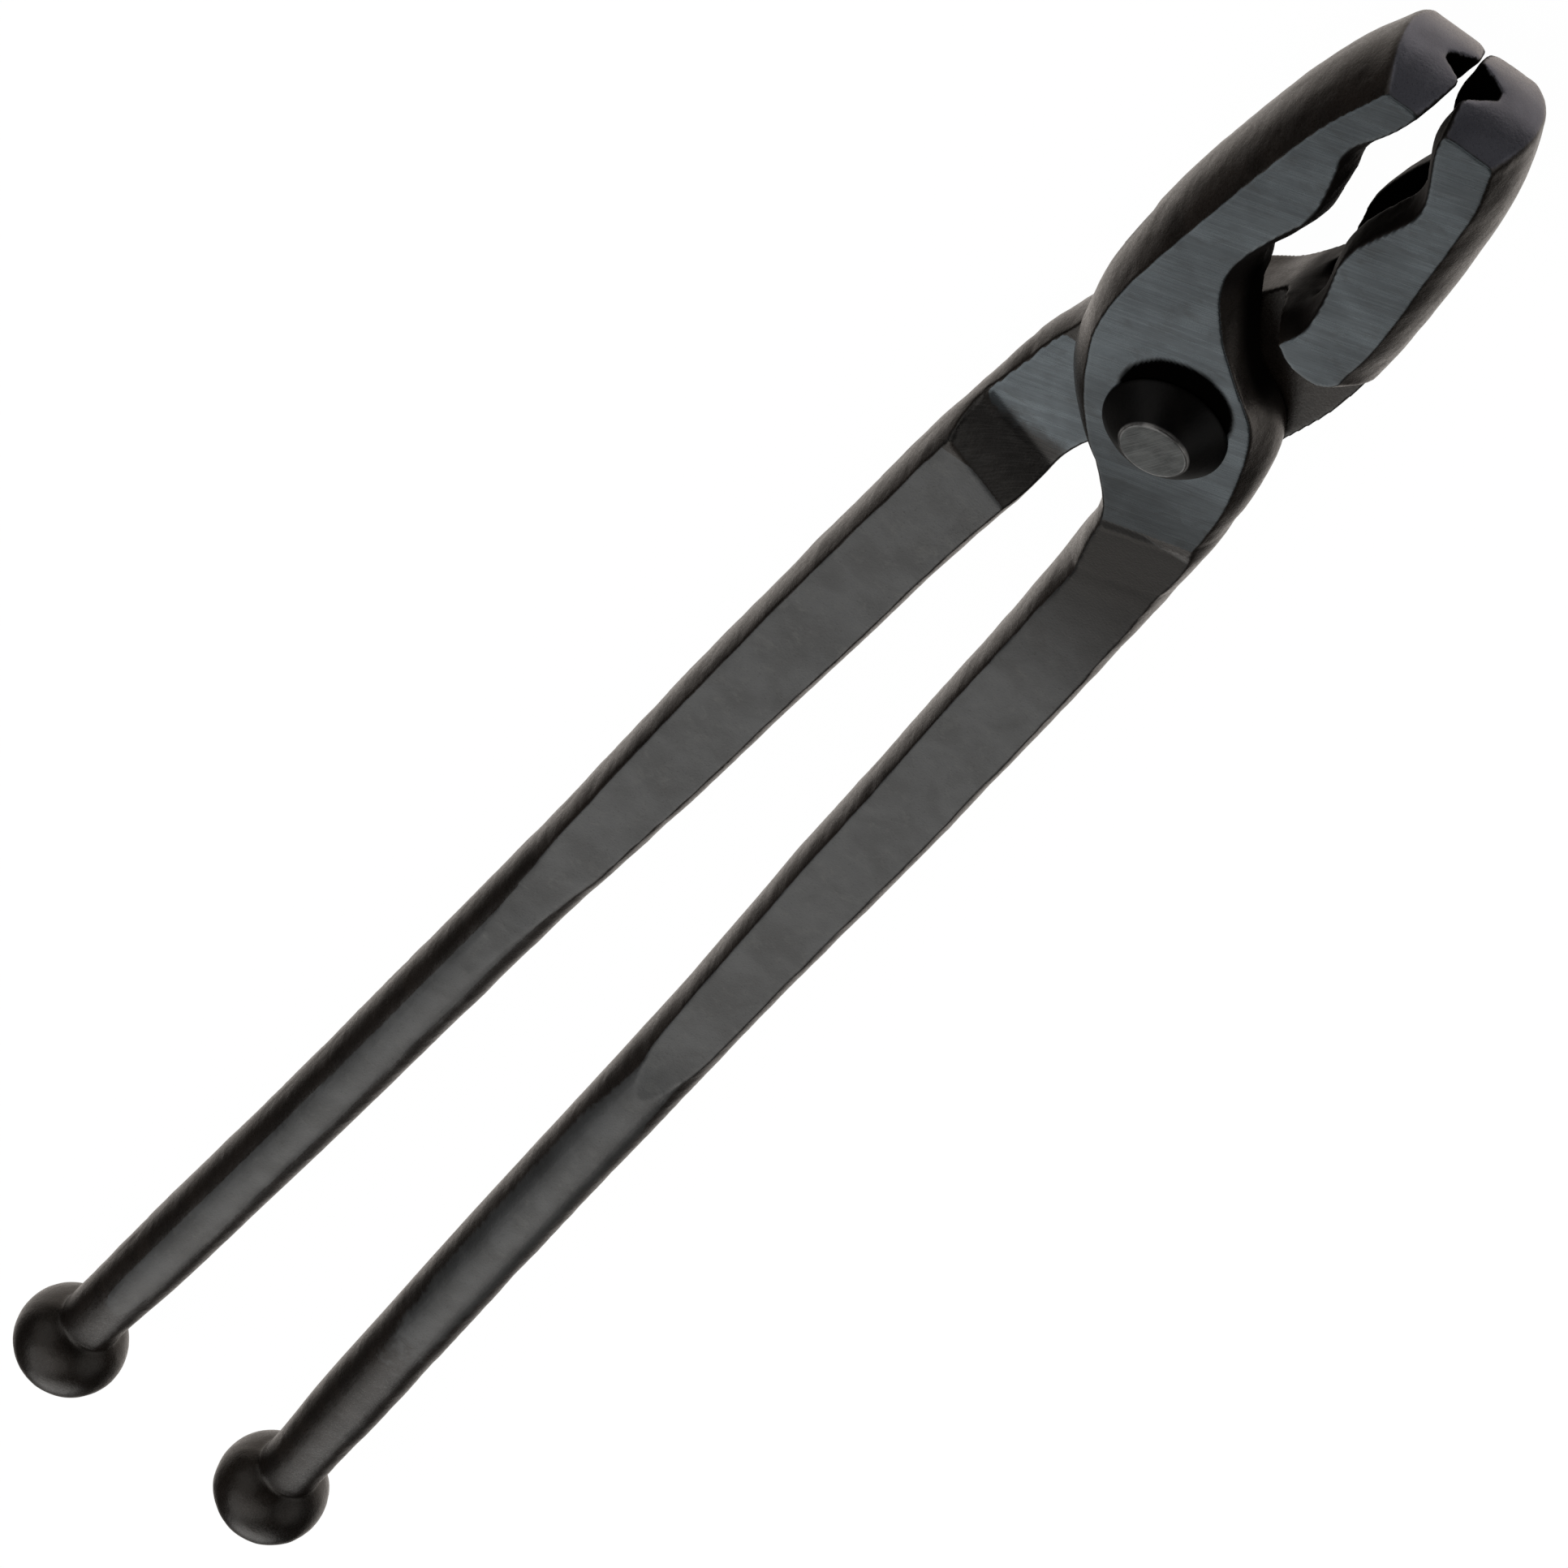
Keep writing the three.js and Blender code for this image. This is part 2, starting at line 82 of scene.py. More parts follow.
# x,y on the front face; x,y at mid-thickness; x,y on the back face; notch depth; wall lean
HEAD = np.array([
    [60.1, 2.75, 62.7, 0.8, 59.8, -0.45, 2.9, 0.229], [58.4, 2.95, 60.6, 0.8, 58.4, -0.2, 2.9, 0.225],
    [56.2, 3.45, 58.3, 0.85, 57, 0.4, 2.9, 0.218], [54.1, 4.2, 56, 1.1, 55.4, 1.4, 2.9, 0.2],
    [51.3, 5.4, 53, 2, 52.8, 3, 2.8, 0.1], [48.9, 5.5, 50.4, 3.05, 50, 4.3, 2.8, 0],
    [47.1, 4.95, 47.4, 3.25, 47.5, 4.4, 2.8, 0], [43.4, 4, 44, 2.5, 44.6, 3.7, 3, 0],
    [40.2, 3.5, 39.7, 1.8, 38.9, 2.2, 3, 0], [37.5, 3.6, 36.6, 1.6, 35.6, 2.2, 3, 0],
    [33, 4.7, 32.5, 2.3, 31.3, 3.4, 2.9, 0], [27.3, 5.7, 27.6, 3.4, 27.3, 4.2, 2.2, 0],
    [24.2, 5.45, 24.6, 2.85, 24.2, 4, 0.5, 0], [21.1, 4.4, 21.6, 1.6, 20.6, 3, 0, 0],
    [18.1, 2.5, 18.4, 0.05, 17.9, 1.6, 0, 0], [15.3, 0.4, 15.6, -1.4, 15, 0, 0, 0],
    [12.7, -2.2, 12.8, -3, 12.3, -2.5, 0, 0], [9.7, -5.5, 9.9, -5.3, 9.7, -5.4, 0, 0],
    [7.1, -8, 8.2, -8.1, 8.2, -8.1, 0, 0], [3, -9.9, 6.1, -10.5, 6.1, -10.5, 0, -0.15],
    [-1.8, -11.3, 2.1, -12.5, 2.1, -12.5, 0, -0.35], [-7, -12.4, -4.5, -13.4, -4.5, -13.4, 0, -0.6],
    [-11, -12.8, -9, -13.8, -9, -13.8, 0, -0.6], [-14, -12.8, -13, -13.9, -13, -13.9, 0, -0.6],
    [-14.6, -11.4, -13.6, -12.9, -13.6, -12.9, 0, -0.5], [-14.8, -2.6, -14.8, -1, -14.8, -1, 0, 0],
    [-14, -0.8, -14.4, 1.4, -14.4, 1.4, 0, 0], [-11.7, 1.35, -12.9, 3.8, -12.9, 3.8, 0, 0],
    [-10, 3.3, -11.3, 6, -11.3, 6, 0, 0], [-7.3, 5.45, -8.4, 8.7, -8.4, 8.7, 0, 0],
    [-3.2, 8.1, -4.8, 11, -4.8, 11, 0, 0], [0.5, 9.95, -0.9, 12.45, -0.9, 12.45, 0, 0],
    [4.7, 11.6, 3.4, 13.5, 3.4, 13.5, 0, 0], [9.2, 12.45, 8.6, 14.5, 8.6, 14.5, 0, 0],
    [13.8, 12.6, 13.6, 14.9, 13.6, 14.9, 0, 0], [20.2, 12.3, 20.4, 15, 20.3, 11.4, 0, 0],
    [27.4, 11.7, 27.6, 14.8, 27, 11.4, 0, 0], [34.4, 11.1, 34.6, 14.3, 33.4, 10.95, 0, 0],
    [41.1, 10.4, 41.4, 13.6, 40.4, 10.15, 0, 0], [48.4, 9.6, 48.8, 12.7, 47.6, 9.4, 0, 0],
    [54.5, 8.4, 55.4, 11.35, 54.3, 8.5, 0, 0], [58.3, 7.35, 60.6, 9.6, 58.5, 7.25, 0, 0],
    [60.15, 6.85, 62.5, 8.8, 60.1, 6.75, 0, 0], [60.5, 6.45, 62.9, 8.35, 60.4, 6.3, 0, 0],
    [60.5, 5.6, 63, 7.4, 60.4, 5.4, 0, 0], [60.45, 3.6, 62.95, 1.7, 60.3, 0.3, 2.85, 0.229],
])
# rows that came out differently on the rear arm: row number, then the row
REAR_ROWS = [
    [0, 60, 1.1, 62.7, -0.05, 60.1, 0.7, 3.45, 0], [1, 58.4, 1.3, 60.6, -0.05, 58.6, 0.8, 3.45, 0],
    [2, 56.6, 1.7, 58.3, -0.05, 57.4, 1.2, 3.45, 0], [3, 55, 2.6, 56, 0.3, 55.6, 2, 3.3, 0],
    [4, 52.4, 3.9, 53, 1.6, 52.8, 3.3, 3.1, 0], [5, 49.6, 4.8, 50.4, 3, 50, 4.3, 3, 0],
    [12, 25.4, 4.4, 24.6, 2.85, 24.2, 4.4, 0.5, 0], [13, 22.4, 3.2, 21.6, 1.6, 20.6, 3.6, 0, 0],
    [14, 19.4, 1.6, 18.4, 0.05, 17.9, 2.6, 0, 0], [15, 17, -0.6, 15.6, -1.4, 15, 0.9, 0, 0],
    [16, 14.3, -2.9, 12.8, -3, 12.3, -1.9, 0, 0], [17, 10.6, -5.9, 9.9, -5.3, 9.7, -5.4, 0, 0],
    [18, 7.4, -8.1, 8.2, -7.9, 8.2, -7.9, 0, 0], [19, 3, -9.9, 5.9, -9.9, 5.9, -9.9, 0, -0.2],
    [20, -1.8, -11.3, 1.6, -11.6, 1.6, -11.6, 0, -0.3], [21, -7, -12.4, -3.8, -12.3, -3.8, -12.3, 0, -0.45],
    [22, -11, -12.8, -7.8, -13.1, -7.8, -13.1, 0, -0.55], [23, -14, -12.8, -12, -13.4, -12, -13.4, 0, -0.55],
    [24, -14.6, -11.4, -13.2, -12.6, -13.2, -12.6, 0, -0.45], [45, 60.45, 2.6, 62.95, 0.6, 60.4, 1.5, 3.4, 0],
]
REAR_HEAD = HEAD.copy()
for row in REAR_ROWS:
    REAR_HEAD[int(row[0])] = row[1:]
NOTCH = (-0.4, 1.9, 2.7)          # height of its bottom, reach above, reach below
REAR_NOTCH = (0.0, 3.0, 3.0)

# end of the lower half of the jaw: x,y at mid-thickness; x,y on the back face
SHOULDER = np.array([
    [27, -12, 27, -12], [22.8, -2, 23.2, -2], [20, 4.4, 20.4, 3.7], [19.2, 5.8, 19.4, 4.9],
    [18.6, 7.4, 18.7, 6.5], [18.3, 9.4, 18.5, 8.4], [18.2, 11.6, 18.9, 9.7], [18.5, 13.4, 19.9, 10.8],
    [19.6, 15.1, 22, 12], [22.6, 19, 25.6, 19],
])

REIN_WIDTH = np.array([  # x, inner side y, outer side y
    [-2, 6, -12.3], [-5, 5.6, -13.3], [-8, 4.8, -14.2], [-10, 3.9, -14.7], [-12, 2.45, -15], [-14, 0.55, -15.2],
    [-16, -0.95, -15.35], [-18, -1.95, -15.45], [-20, -2.5, -15.6], [-22.5, -2.95, -15.8],
    [-26.5, -3.3, -16.05], [-33, -3.95, -16.35], [-40, -4.4, -16.5], [-52, -5, -16.8], [-60, -5.22, -17],
    [-76, -5.75, -17.3], [-92, -6.3, -17.58], [-108, -6.72, -17.68], [-116, -7.15, -17.71],
    [-124, -7.49, -17.71], [-132, -7.83, -17.77], [-140, -8.18, -17.92], [-148, -8.4, -18.1],
    [-164, -8.8, -18.4], [-188, -9.34, -18.86], [-204, -9.7, -19.2], [-220, -10.16, -19.64],
    [-236, -10.68, -20.12], [-252, -11.15, -20.55], [-260, -11.47, -20.73], [-268, -11.95, -20.81],
    [-274, -12.25, -20.95], [-281, -12.4, -21],
])

REIN = np.array([  # x, top flat, bottom flat, centre, rise above it, lean, depth below it
    [-6.5, 7, 0.15, 3, 6.4, 0.7, 6.25], [-10.5, 7, 0.15, 3, 6.4, 0.7, 6.25],
    [-13.5, 7, 0.15, 3, 6.35, 0.6, 6.25], [-16.4, 7, 0.15, 3, 6.35, 0.45, 6.25],
    [-16.8, 6.95, 0.15, 2.97, 6.37, 0.43, 6.23], [-19, 6.66, 0.15, 2.8, 6.5, 0.3, 6.1],
    [-21.6, 6.3, 0.15, 2.3, 6.8, 0.2, 6], [-23.2, 6.08, -0.5, 1.7, 7.2, 0.1, 6.2],
    [-24.8, 5.86, -1.35, 1.2, 7.4, 0, 6.5], [-26.4, 5.65, -2.5, 0.8, 7.4, 0, 6.9],
    [-27.9, 5.46, -3.95, 0.42, 7.3, 0, 7.2], [-28.05, 5.45, -4.05, 0.4, 7.3, 0, 7.2],
    [-33, 4.95, -4.1, 0.2, 7, 0, 7], [-40, 4.5, -4.1, 0.1, 6.8, 0, 6.8], [-49, 4.2, -4.08, 0.05, 6.75, 0, 6.75],
    [-60, 4.06, -4.05, 0, 6.75, 0, 6.75], [-80, 4.05, -4.05, 0, 6.45, 0, 6.45],
    [-100, 4.05, -4, 0, 6.17, 0, 6.17], [-116, 4.07, -3.97, 0.03, 5.95, 0, 5.95],
    [-126, 4.1, -3.96, 0.06, 5.92, 0, 5.7], [-130, 4.1, -3.94, 0.07, 5.9, 0, 5.3],
    [-134, 4.1, -3.92, 0.09, 5.87, 0, 4.87], [-140, 4.1, -4, 0.12, 5.65, 0, 4.79],
    [-145, 4.12, -4.2, 0.15, 5.42, 0, 4.75], [-149, 4.2, -4.3, 0.17, 5.13, 0, 4.74],
    [-152.5, 4.38, -4.38, 0.19, 4.84, 0, 4.78], [-156, 4.72, -4.47, 0.2, 4.79, 0, 4.79],
    [-164, 5.6, -5, 0.24, 4.8, 0, 4.8], [-188, 6, -5, 0.35, 4.77, 0, 4.77],
    [-212, 6.2, -5, 0.46, 4.75, 0, 4.75], [-236, 6.4, -5, 0.58, 4.72, 0, 4.72],
    [-252, 6.6, -5, 0.65, 4.68, 0, 4.68], [-260, 6.6, -5, 0.69, 4.6, 0, 4.6],
    [-268, 6.6, -5, 0.73, 4.42, 0, 4.42], [-274, 6.6, -5, 0.76, 4.34, 0, 4.34],
    [-281, 6.6, -5, 0.79, 4.3, 0, 4.3],
])

VOXEL = 0.33

# ------------------------------------------------------------------ light levels
PANEL_AIM, PANEL_CONE, PANEL_GLOW = (-0.85, -0.22, 0.44), (8, 31), 1.35
TOP_GLOW, SIDE_GLOW, AMBIENT, KEY_POWER = 0.85, 0.60, 0.024, 3.5
FLOOR_NEAR, FLOOR_FAR, FLOOR_GLOW, FLOOR_SOFT = 0.10, 0.62, 1.0, 0.6


# ------------------------------------------------------------------ number helpers
def pchip(xs, ys, q):
    """Monotone cubic through (xs, ys), xs rising."""
    h = np.diff(xs)
    s = np.diff(ys) / h
    d = np.zeros_like(ys)
    w1, w2 = 2 * h[1:] + h[:-1], h[1:] + 2 * h[:-1]
    same = s[:-1] * s[1:] > 0
    with np.errstate(divide="ignore", invalid="ignore"):
        d[1:-1] = np.where(same, (w1 + w2) / (w1 / s[:-1] + w2 / s[1:]), 0)
    d[0], d[-1] = s[0], s[-1]
    q = np.clip(q, xs[0], xs[-1])
    i = np.clip(np.searchsorted(xs, q, side="right") - 1, 0, len(h) - 1)
    t = (q - xs[i]) / h[i]
    a, b = ys[i], ys[i + 1]
    m0, m1 = d[i] * h[i], d[i + 1] * h[i]
    return ((2 * t**3 - 3 * t**2 + 1) * a + (t**3 - 2 * t**2 + t) * m0
            + (-2 * t**3 + 3 * t**2) * b + (t**3 - t**2) * m1)


def centripetal(points, steps, closed):
    """Centripetal Catmull-Rom curve through 2D points, steps[i] samples on segment i."""
    n = len(points)
    out = []
    for i in range(n if closed else n - 1):
        p1, p2 = points[i], points[(i + 1) % n]
        p0 = points[i - 1] if closed or i else 2 * p1 - p2
        p3 = points[(i + 2) % n] if closed or i + 2 < n else 2 * p2 - p1
        t0, t1, t2 = (max(1e-6, np.linalg.norm(b - a)) ** 0.5
                      for a, b in ((p0, p1), (p1, p2), (p2, p3)))
        m1 = ((p1 - p0) / t0 - (p2 - p0) / (t0 + t1) + (p2 - p1) / t1) * t1
        m2 = ((p2 - p1) / t1 - (p3 - p1) / (t1 + t2) + (p3 - p2) / t2) * t1
        w = (np.arange(steps[i]) / steps[i])[:, None]
        out.append(p1 + m1 * w + (3 * (p2 - p1) - 2 * m1 - m2) * w**2
                   + (2 * (p1 - p2) + m1 + m2) * w**3)
    if not closed:
        out.append(points[-1:])
    return np.concatenate(out)


def hash3(i, j, k, seed):
    h = (i.astype(np.uint32) * np.uint32(374761393) + j.astype(np.uint32) * np.uint32(668265263)
         + k.astype(np.uint32) * np.uint32(2246822519) + np.uint32((seed * 3266489917) & 0xFFFFFFFF))
    h = (h ^ (h >> np.uint32(13))) * np.uint32(1274126177)
    h = (h ^ (h >> np.uint32(16))) * np.uint32(2654435761)
    return ((h ^ (h >> np.uint32(15))) & np.uint32(0xFFFFFF)).astype(float) / 0xFFFFFF


def value_noise(p, seed):
    """Smooth noise in -1..1 with unit cell size."""
    base = np.floor(p).astype(np.int64)
    f = p - base
    f = f * f * f * (f * (f * 6 - 15) + 10)
    total = np.zeros(len(p))
    for di in (0, 1):
        for dj in (0, 1):
            for dk in (0, 1):
                w = (np.where(di, f[:, 0], 1 - f[:, 0]) * np.where(dj, f[:, 1], 1 - f[:, 1])
                     * np.where(dk, f[:, 2], 1 - f[:, 2]))
                total += w * hash3(base[:, 0] + di, base[:, 1] + dj, base[:, 2] + dk, seed)
    return total * 2 - 1


def noise(p, cell, seed, octaves=2):
    """Fractal noise; cell is the size of its largest lumps, in mm (a number or x,y,z)."""
    total, gain, norm = np.zeros(len(p)), 1.0, 0.0
    q = p / np.asarray(cell, float) + 1000.37
    c, s = math.cos(0.7), math.sin(0.7)
    for o in range(octaves):
        total += gain * value_noise(q, seed + 17 * o)
        norm += gain
        gain *= 0.5
        q = q * 2.03
        q = np.stack([c * q[:, 0] - s * q[:, 1], s * q[:, 0] + c * q[:, 1], q[:, 2] + 3.1], 1)
    return total / norm


def ramp(x, a, b):
    """0 at a, 1 at b, smooth between."""
    t = np.clip((x - a) / (b - a), 0, 1)
    return t * t * (3 - 2 * t)


# ------------------------------------------------------------------ mesh helpers
def to_object(name, verts, faces):
    me = bpy.data.meshes.new(name)
    me.from_pydata(np.asarray(verts, float).tolist(), [], [list(map(int, f)) for f in faces])
    me.update()
    ob = bpy.data.objects.new(name, me)
    bpy.context.scene.collection.objects.link(ob)
    return ob


def skin(rings):
    """Closed skin over rings of equal length; the two end rings are capped."""
    rings = np.asarray(rings)
    r, n, _ = rings.shape
    quads = []
    j = (np.arange(n) + 1) % n
    for k in range(r - 1):
        a = k * n + np.arange(n)
        b = k * n + j
        quads += np.stack([a, b, b + n, a + n], 1).tolist()
    faces = quads + [list(range(n))[::-1], [(r - 1) * n + i for i in range(n)]]
    return rings.reshape(-1, 3), faces


def outward(ob):
    import bmesh
    bm = bmesh.new()
    bm.from_mesh(ob.data)
    bmesh.ops.recalc_face_normals(bm, faces=bm.faces)
    bm.to_mesh(ob.data)
    bm.free()
    return ob


def baked(ob):
    """Vertices and faces of an object with its modifiers applied."""
    dg = bpy.context.evaluated_depsgraph_get()
    ev = ob.evaluated_get(dg)
    me = ev.to_mesh()
    v = np.zeros(len(me.vertices) * 3)
    me.vertices.foreach_get("co", v)
    faces = [tuple(p.vertices) for p in me.polygons]
    ev.to_mesh_clear()
    return v.reshape(-1, 3), faces


def drop(*obs):
    for ob in obs:
        me = ob.data
        bpy.data.objects.remove(ob)
        bpy.data.meshes.remove(me)


def cut(a, b, operation="DIFFERENCE"):
    m = a.modifiers.new("cut", "BOOLEAN")
    m.operation, m.object, m.solver = operation, b, "EXACT"
    v, f = baked(a)
    drop(a, b)
    return to_object("cut", v, f)


class Surface:
    """Vertices, quads and neighbours of a dense mesh, for smoothing and measuring."""

    def __init__(self, verts, faces):
        self.v = np.array(verts, float)
        self.faces = faces
        pairs = []
        for size in sorted({len(f) for f in faces}):
            block = np.array([f for f in faces if len(f) == size])
            for k in range(size):
                pairs.append(np.stack([block[:, k], block[:, (k + 1) % size]], 1))
        e = np.sort(np.concatenate(pairs), 1)
        self.e = np.unique(e, axis=0)
        n = len(self.v)
        self.degree = (np.bincount(self.e[:, 0], minlength=n)
                       + np.bincount(self.e[:, 1], minlength=n)).astype(float)
        self.tri = [np.array([f for f in faces if len(f) == s]) for s in sorted({len(f) for f in faces})]

    def mean(self, a):
        a = a if a.ndim > 1 else a[:, None]
        n = len(self.v)
        out = np.stack([
            np.bincount(self.e[:, 0], a[self.e[:, 1], k], n) + np.bincount(self.e[:, 1], a[self.e[:, 0], k], n)
            for k in range(a.shape[1])], 1) / self.degree[:, None]
        return out if out.shape[1] > 1 else out[:, 0]

    def smooth(self, rounds, weight=1.0, keep=0.53):
        """Taubin smoothing: rounds off without shrinking."""
        w = np.broadcast_to(np.asarray(weight, float), (len(self.v),))[:, None]
        for _ in range(rounds):
            self.v += 0.5 * w * (self.mean(self.v) - self.v)
            self.v -= keep * w * (self.mean(self.v) - self.v)

    def normals(self):
        n = np.zeros_like(self.v)
        for block in self.tri:
            a = self.v[block[:, 2]] - self.v[block[:, 0]]
            b = self.v[block[:, -1]] - self.v[block[:, 1]]
            c = np.cross(a, b)
            for k in range(block.shape[1]):
                for d in range(3):
                    n[:, d] += np.bincount(block[:, k], c[:, d], len(n))
        return n / np.maximum(np.linalg.norm(n, axis=1, keepdims=True), 1e-12)

    def bulge(self):
        """Positive on outside edges, negative in hollows, in 1/mm."""
        n = self.normals()
        d = self.mean(self.v) - self.v
        return -(d * n).sum(1) / VOXEL**2


# ------------------------------------------------------------------ one arm, in front-arm coordinates
def head_solid(table, notch):
    mid = table[:, 2:4]
    gap = np.linalg.norm(np.roll(mid, -1, 0) - mid, axis=1)
    steps = np.maximum(2, np.ceil(gap / 0.45).astype(int))
    rings = []
    levels = np.concatenate([np.linspace(-7, -3.4, 13)[:-1], np.linspace(-3.4, 3.2, 41)[:-1],
                             np.linspace(3.2, 7, 14)])
    for z in levels:
        s = (z / HALF_JAW) ** 2
        k = 0 if z >= 0 else 4
        x = table[:, 2] + (table[:, k] - table[:, 2]) * s
        y = table[:, 3] + (table[:, k + 1] - table[:, 3]) * s + table[:, 7] * z * (1 - abs(z) / HALF_JAW)
        across = 1 - abs(z - notch[0]) / (notch[1] if z > notch[0] else notch[2])
        y = y + table[:, 6] * min(1.0, max(0.0, 1.25 * across))
        ring = centripetal(np.stack([x, y], 1), steps, True)
        rings.append(np.c_[ring, np.full(len(ring), z)])
    head = outward(to_object("head", *skin(rings)))
    rings = []
    seg = np.maximum(2, np.ceil(np.linalg.norm(np.diff(SHOULDER[:, :2], axis=0), axis=1) / 0.5).astype(int))
    for z in np.concatenate([np.linspace(-9, -7, 3)[:-1], np.linspace(-7, BOSS_GAP, 24)]):
        s = min(1.0, (z / HALF_JAW) ** 2)
        line = centripetal(SHOULDER[:, :2] + (SHOULDER[:, 2:] - SHOULDER[:, :2]) * s, seg, False)
        ring = np.concatenate([line, [[-40, 30], [-40, -30], [27, -30]]])
        rings.append(np.c_[ring, np.full(len(ring), z)])
    clear = outward(to_object("clear", *skin(rings)))
    a = 2 * np.pi * np.arange(96) / 96
    bore = outward(to_object("bore", *skin([np.stack([HOLE_RADIUS * np.cos(a), HOLE_RADIUS * np.sin(a), 0 * a + z], 1)
                                            for z in (-9.0, 9.0)])))
    return cut(cut(head, clear), bore)


def rein_solid(slim):
    order = REIN[::-1]
    wide = REIN_WIDTH[::-1].astype(float)
    stations = np.unique(np.concatenate([
        np.arange(-281, -160, 1.2), np.arange(-160, -60, 0.8), np.arange(-60, -30, 0.6),
        np.arange(-30, -15, 0.3), np.arange(-15, -6.5, 0.5), [-6.5, -16.4, -16.8, -27.9, -28.05]]))
    rings = []
    side, flat = 26, 18
    for xs in stations:
        top, bottom, centre, rise, lean, low = (
            pchip(order[:, 0], order[:, c], np.array([xs]))[0] for c in range(1, 7))
        skew = BEND_SKEW * min(1, max(0, (xs + 60) / 30))
        here = np.array([xs])
        half0 = (pchip(wide[:, 0], wide[:, 1], here)[0] - pchip(wide[:, 0], wide[:, 2], here)[0]
                 - slim * min(1, max(0, (xs + 28) / 10))) / 2
        a = min(1.5, math.asin(min(1, (top - centre) / rise)))
        b = max(-1.5, math.asin(max(-1, (bottom - centre) / low)))
        t = np.concatenate([
            b + (a - b) * np.arange(side) / side, a + (math.pi - 2 * a) * np.arange(flat) / flat,
            math.pi - a + (a - b) * np.arange(side) / side,
            math.pi - b + (math.pi + 2 * b) * np.arange(flat) / flat])
        u = np.cos(t)
        z = np.clip(centre + np.where(np.sin(t) > 0, rise, low) * np.sin(t), bottom, top)
        x = xs + skew * u * half0
        inner = pchip(wide[:, 0], wide[:, 1], x)
        outer = pchip(wide[:, 0], wide[:, 2], x) + slim * np.clip((x + 28) / 10, 0, 1)
        y = (inner + outer) / 2 + u * (inner - outer) / 2 + lean * np.maximum(0, z - centre) / max(1, top - centre)
        rings.append(np.stack([x, y, z], 1))
    return outward(to_object("rein", *skin(rings)))


def ball_solid():
    x, y, z, r = BALL
    rows, n = 48, 72
    rings = []
    for i in range(rows + 1):
        t = math.pi * (0.002 + 0.996 * i / rows)
        a = 2 * math.pi * np.arange(n) / n
        rings.append(np.stack([x + r * math.cos(t) + 0 * a, y + r * math.sin(t) * np.cos(a), z + r * math.sin(t) * np.sin(a)], 1))
    return outward(to_object("ball", *skin(rings)))


def arm_surface(table, notch, slim):
    parts = [baked(o) for o in (head_solid(table, notch), rein_solid(slim), ball_solid())]
    drop(*[o for o in list(bpy.data.objects) if o.name.split(".")[0] in ("cut", "rein", "ball", "head", "clear")])
    verts, faces, base = [], [], 0
    for v, f in parts:
        verts.append(v)
        faces += [tuple(i + base for i in poly) for poly in f]
        base += len(v)
    whole = to_object("whole", np.concatenate(verts), faces)
    m = whole.modifiers.new("grid", "REMESH")
    m.mode, m.voxel_size, m.adaptivity = "VOXEL", VOXEL, 0
    v, f = baked(whole)
    drop(whole)
    return Surface(v, f)


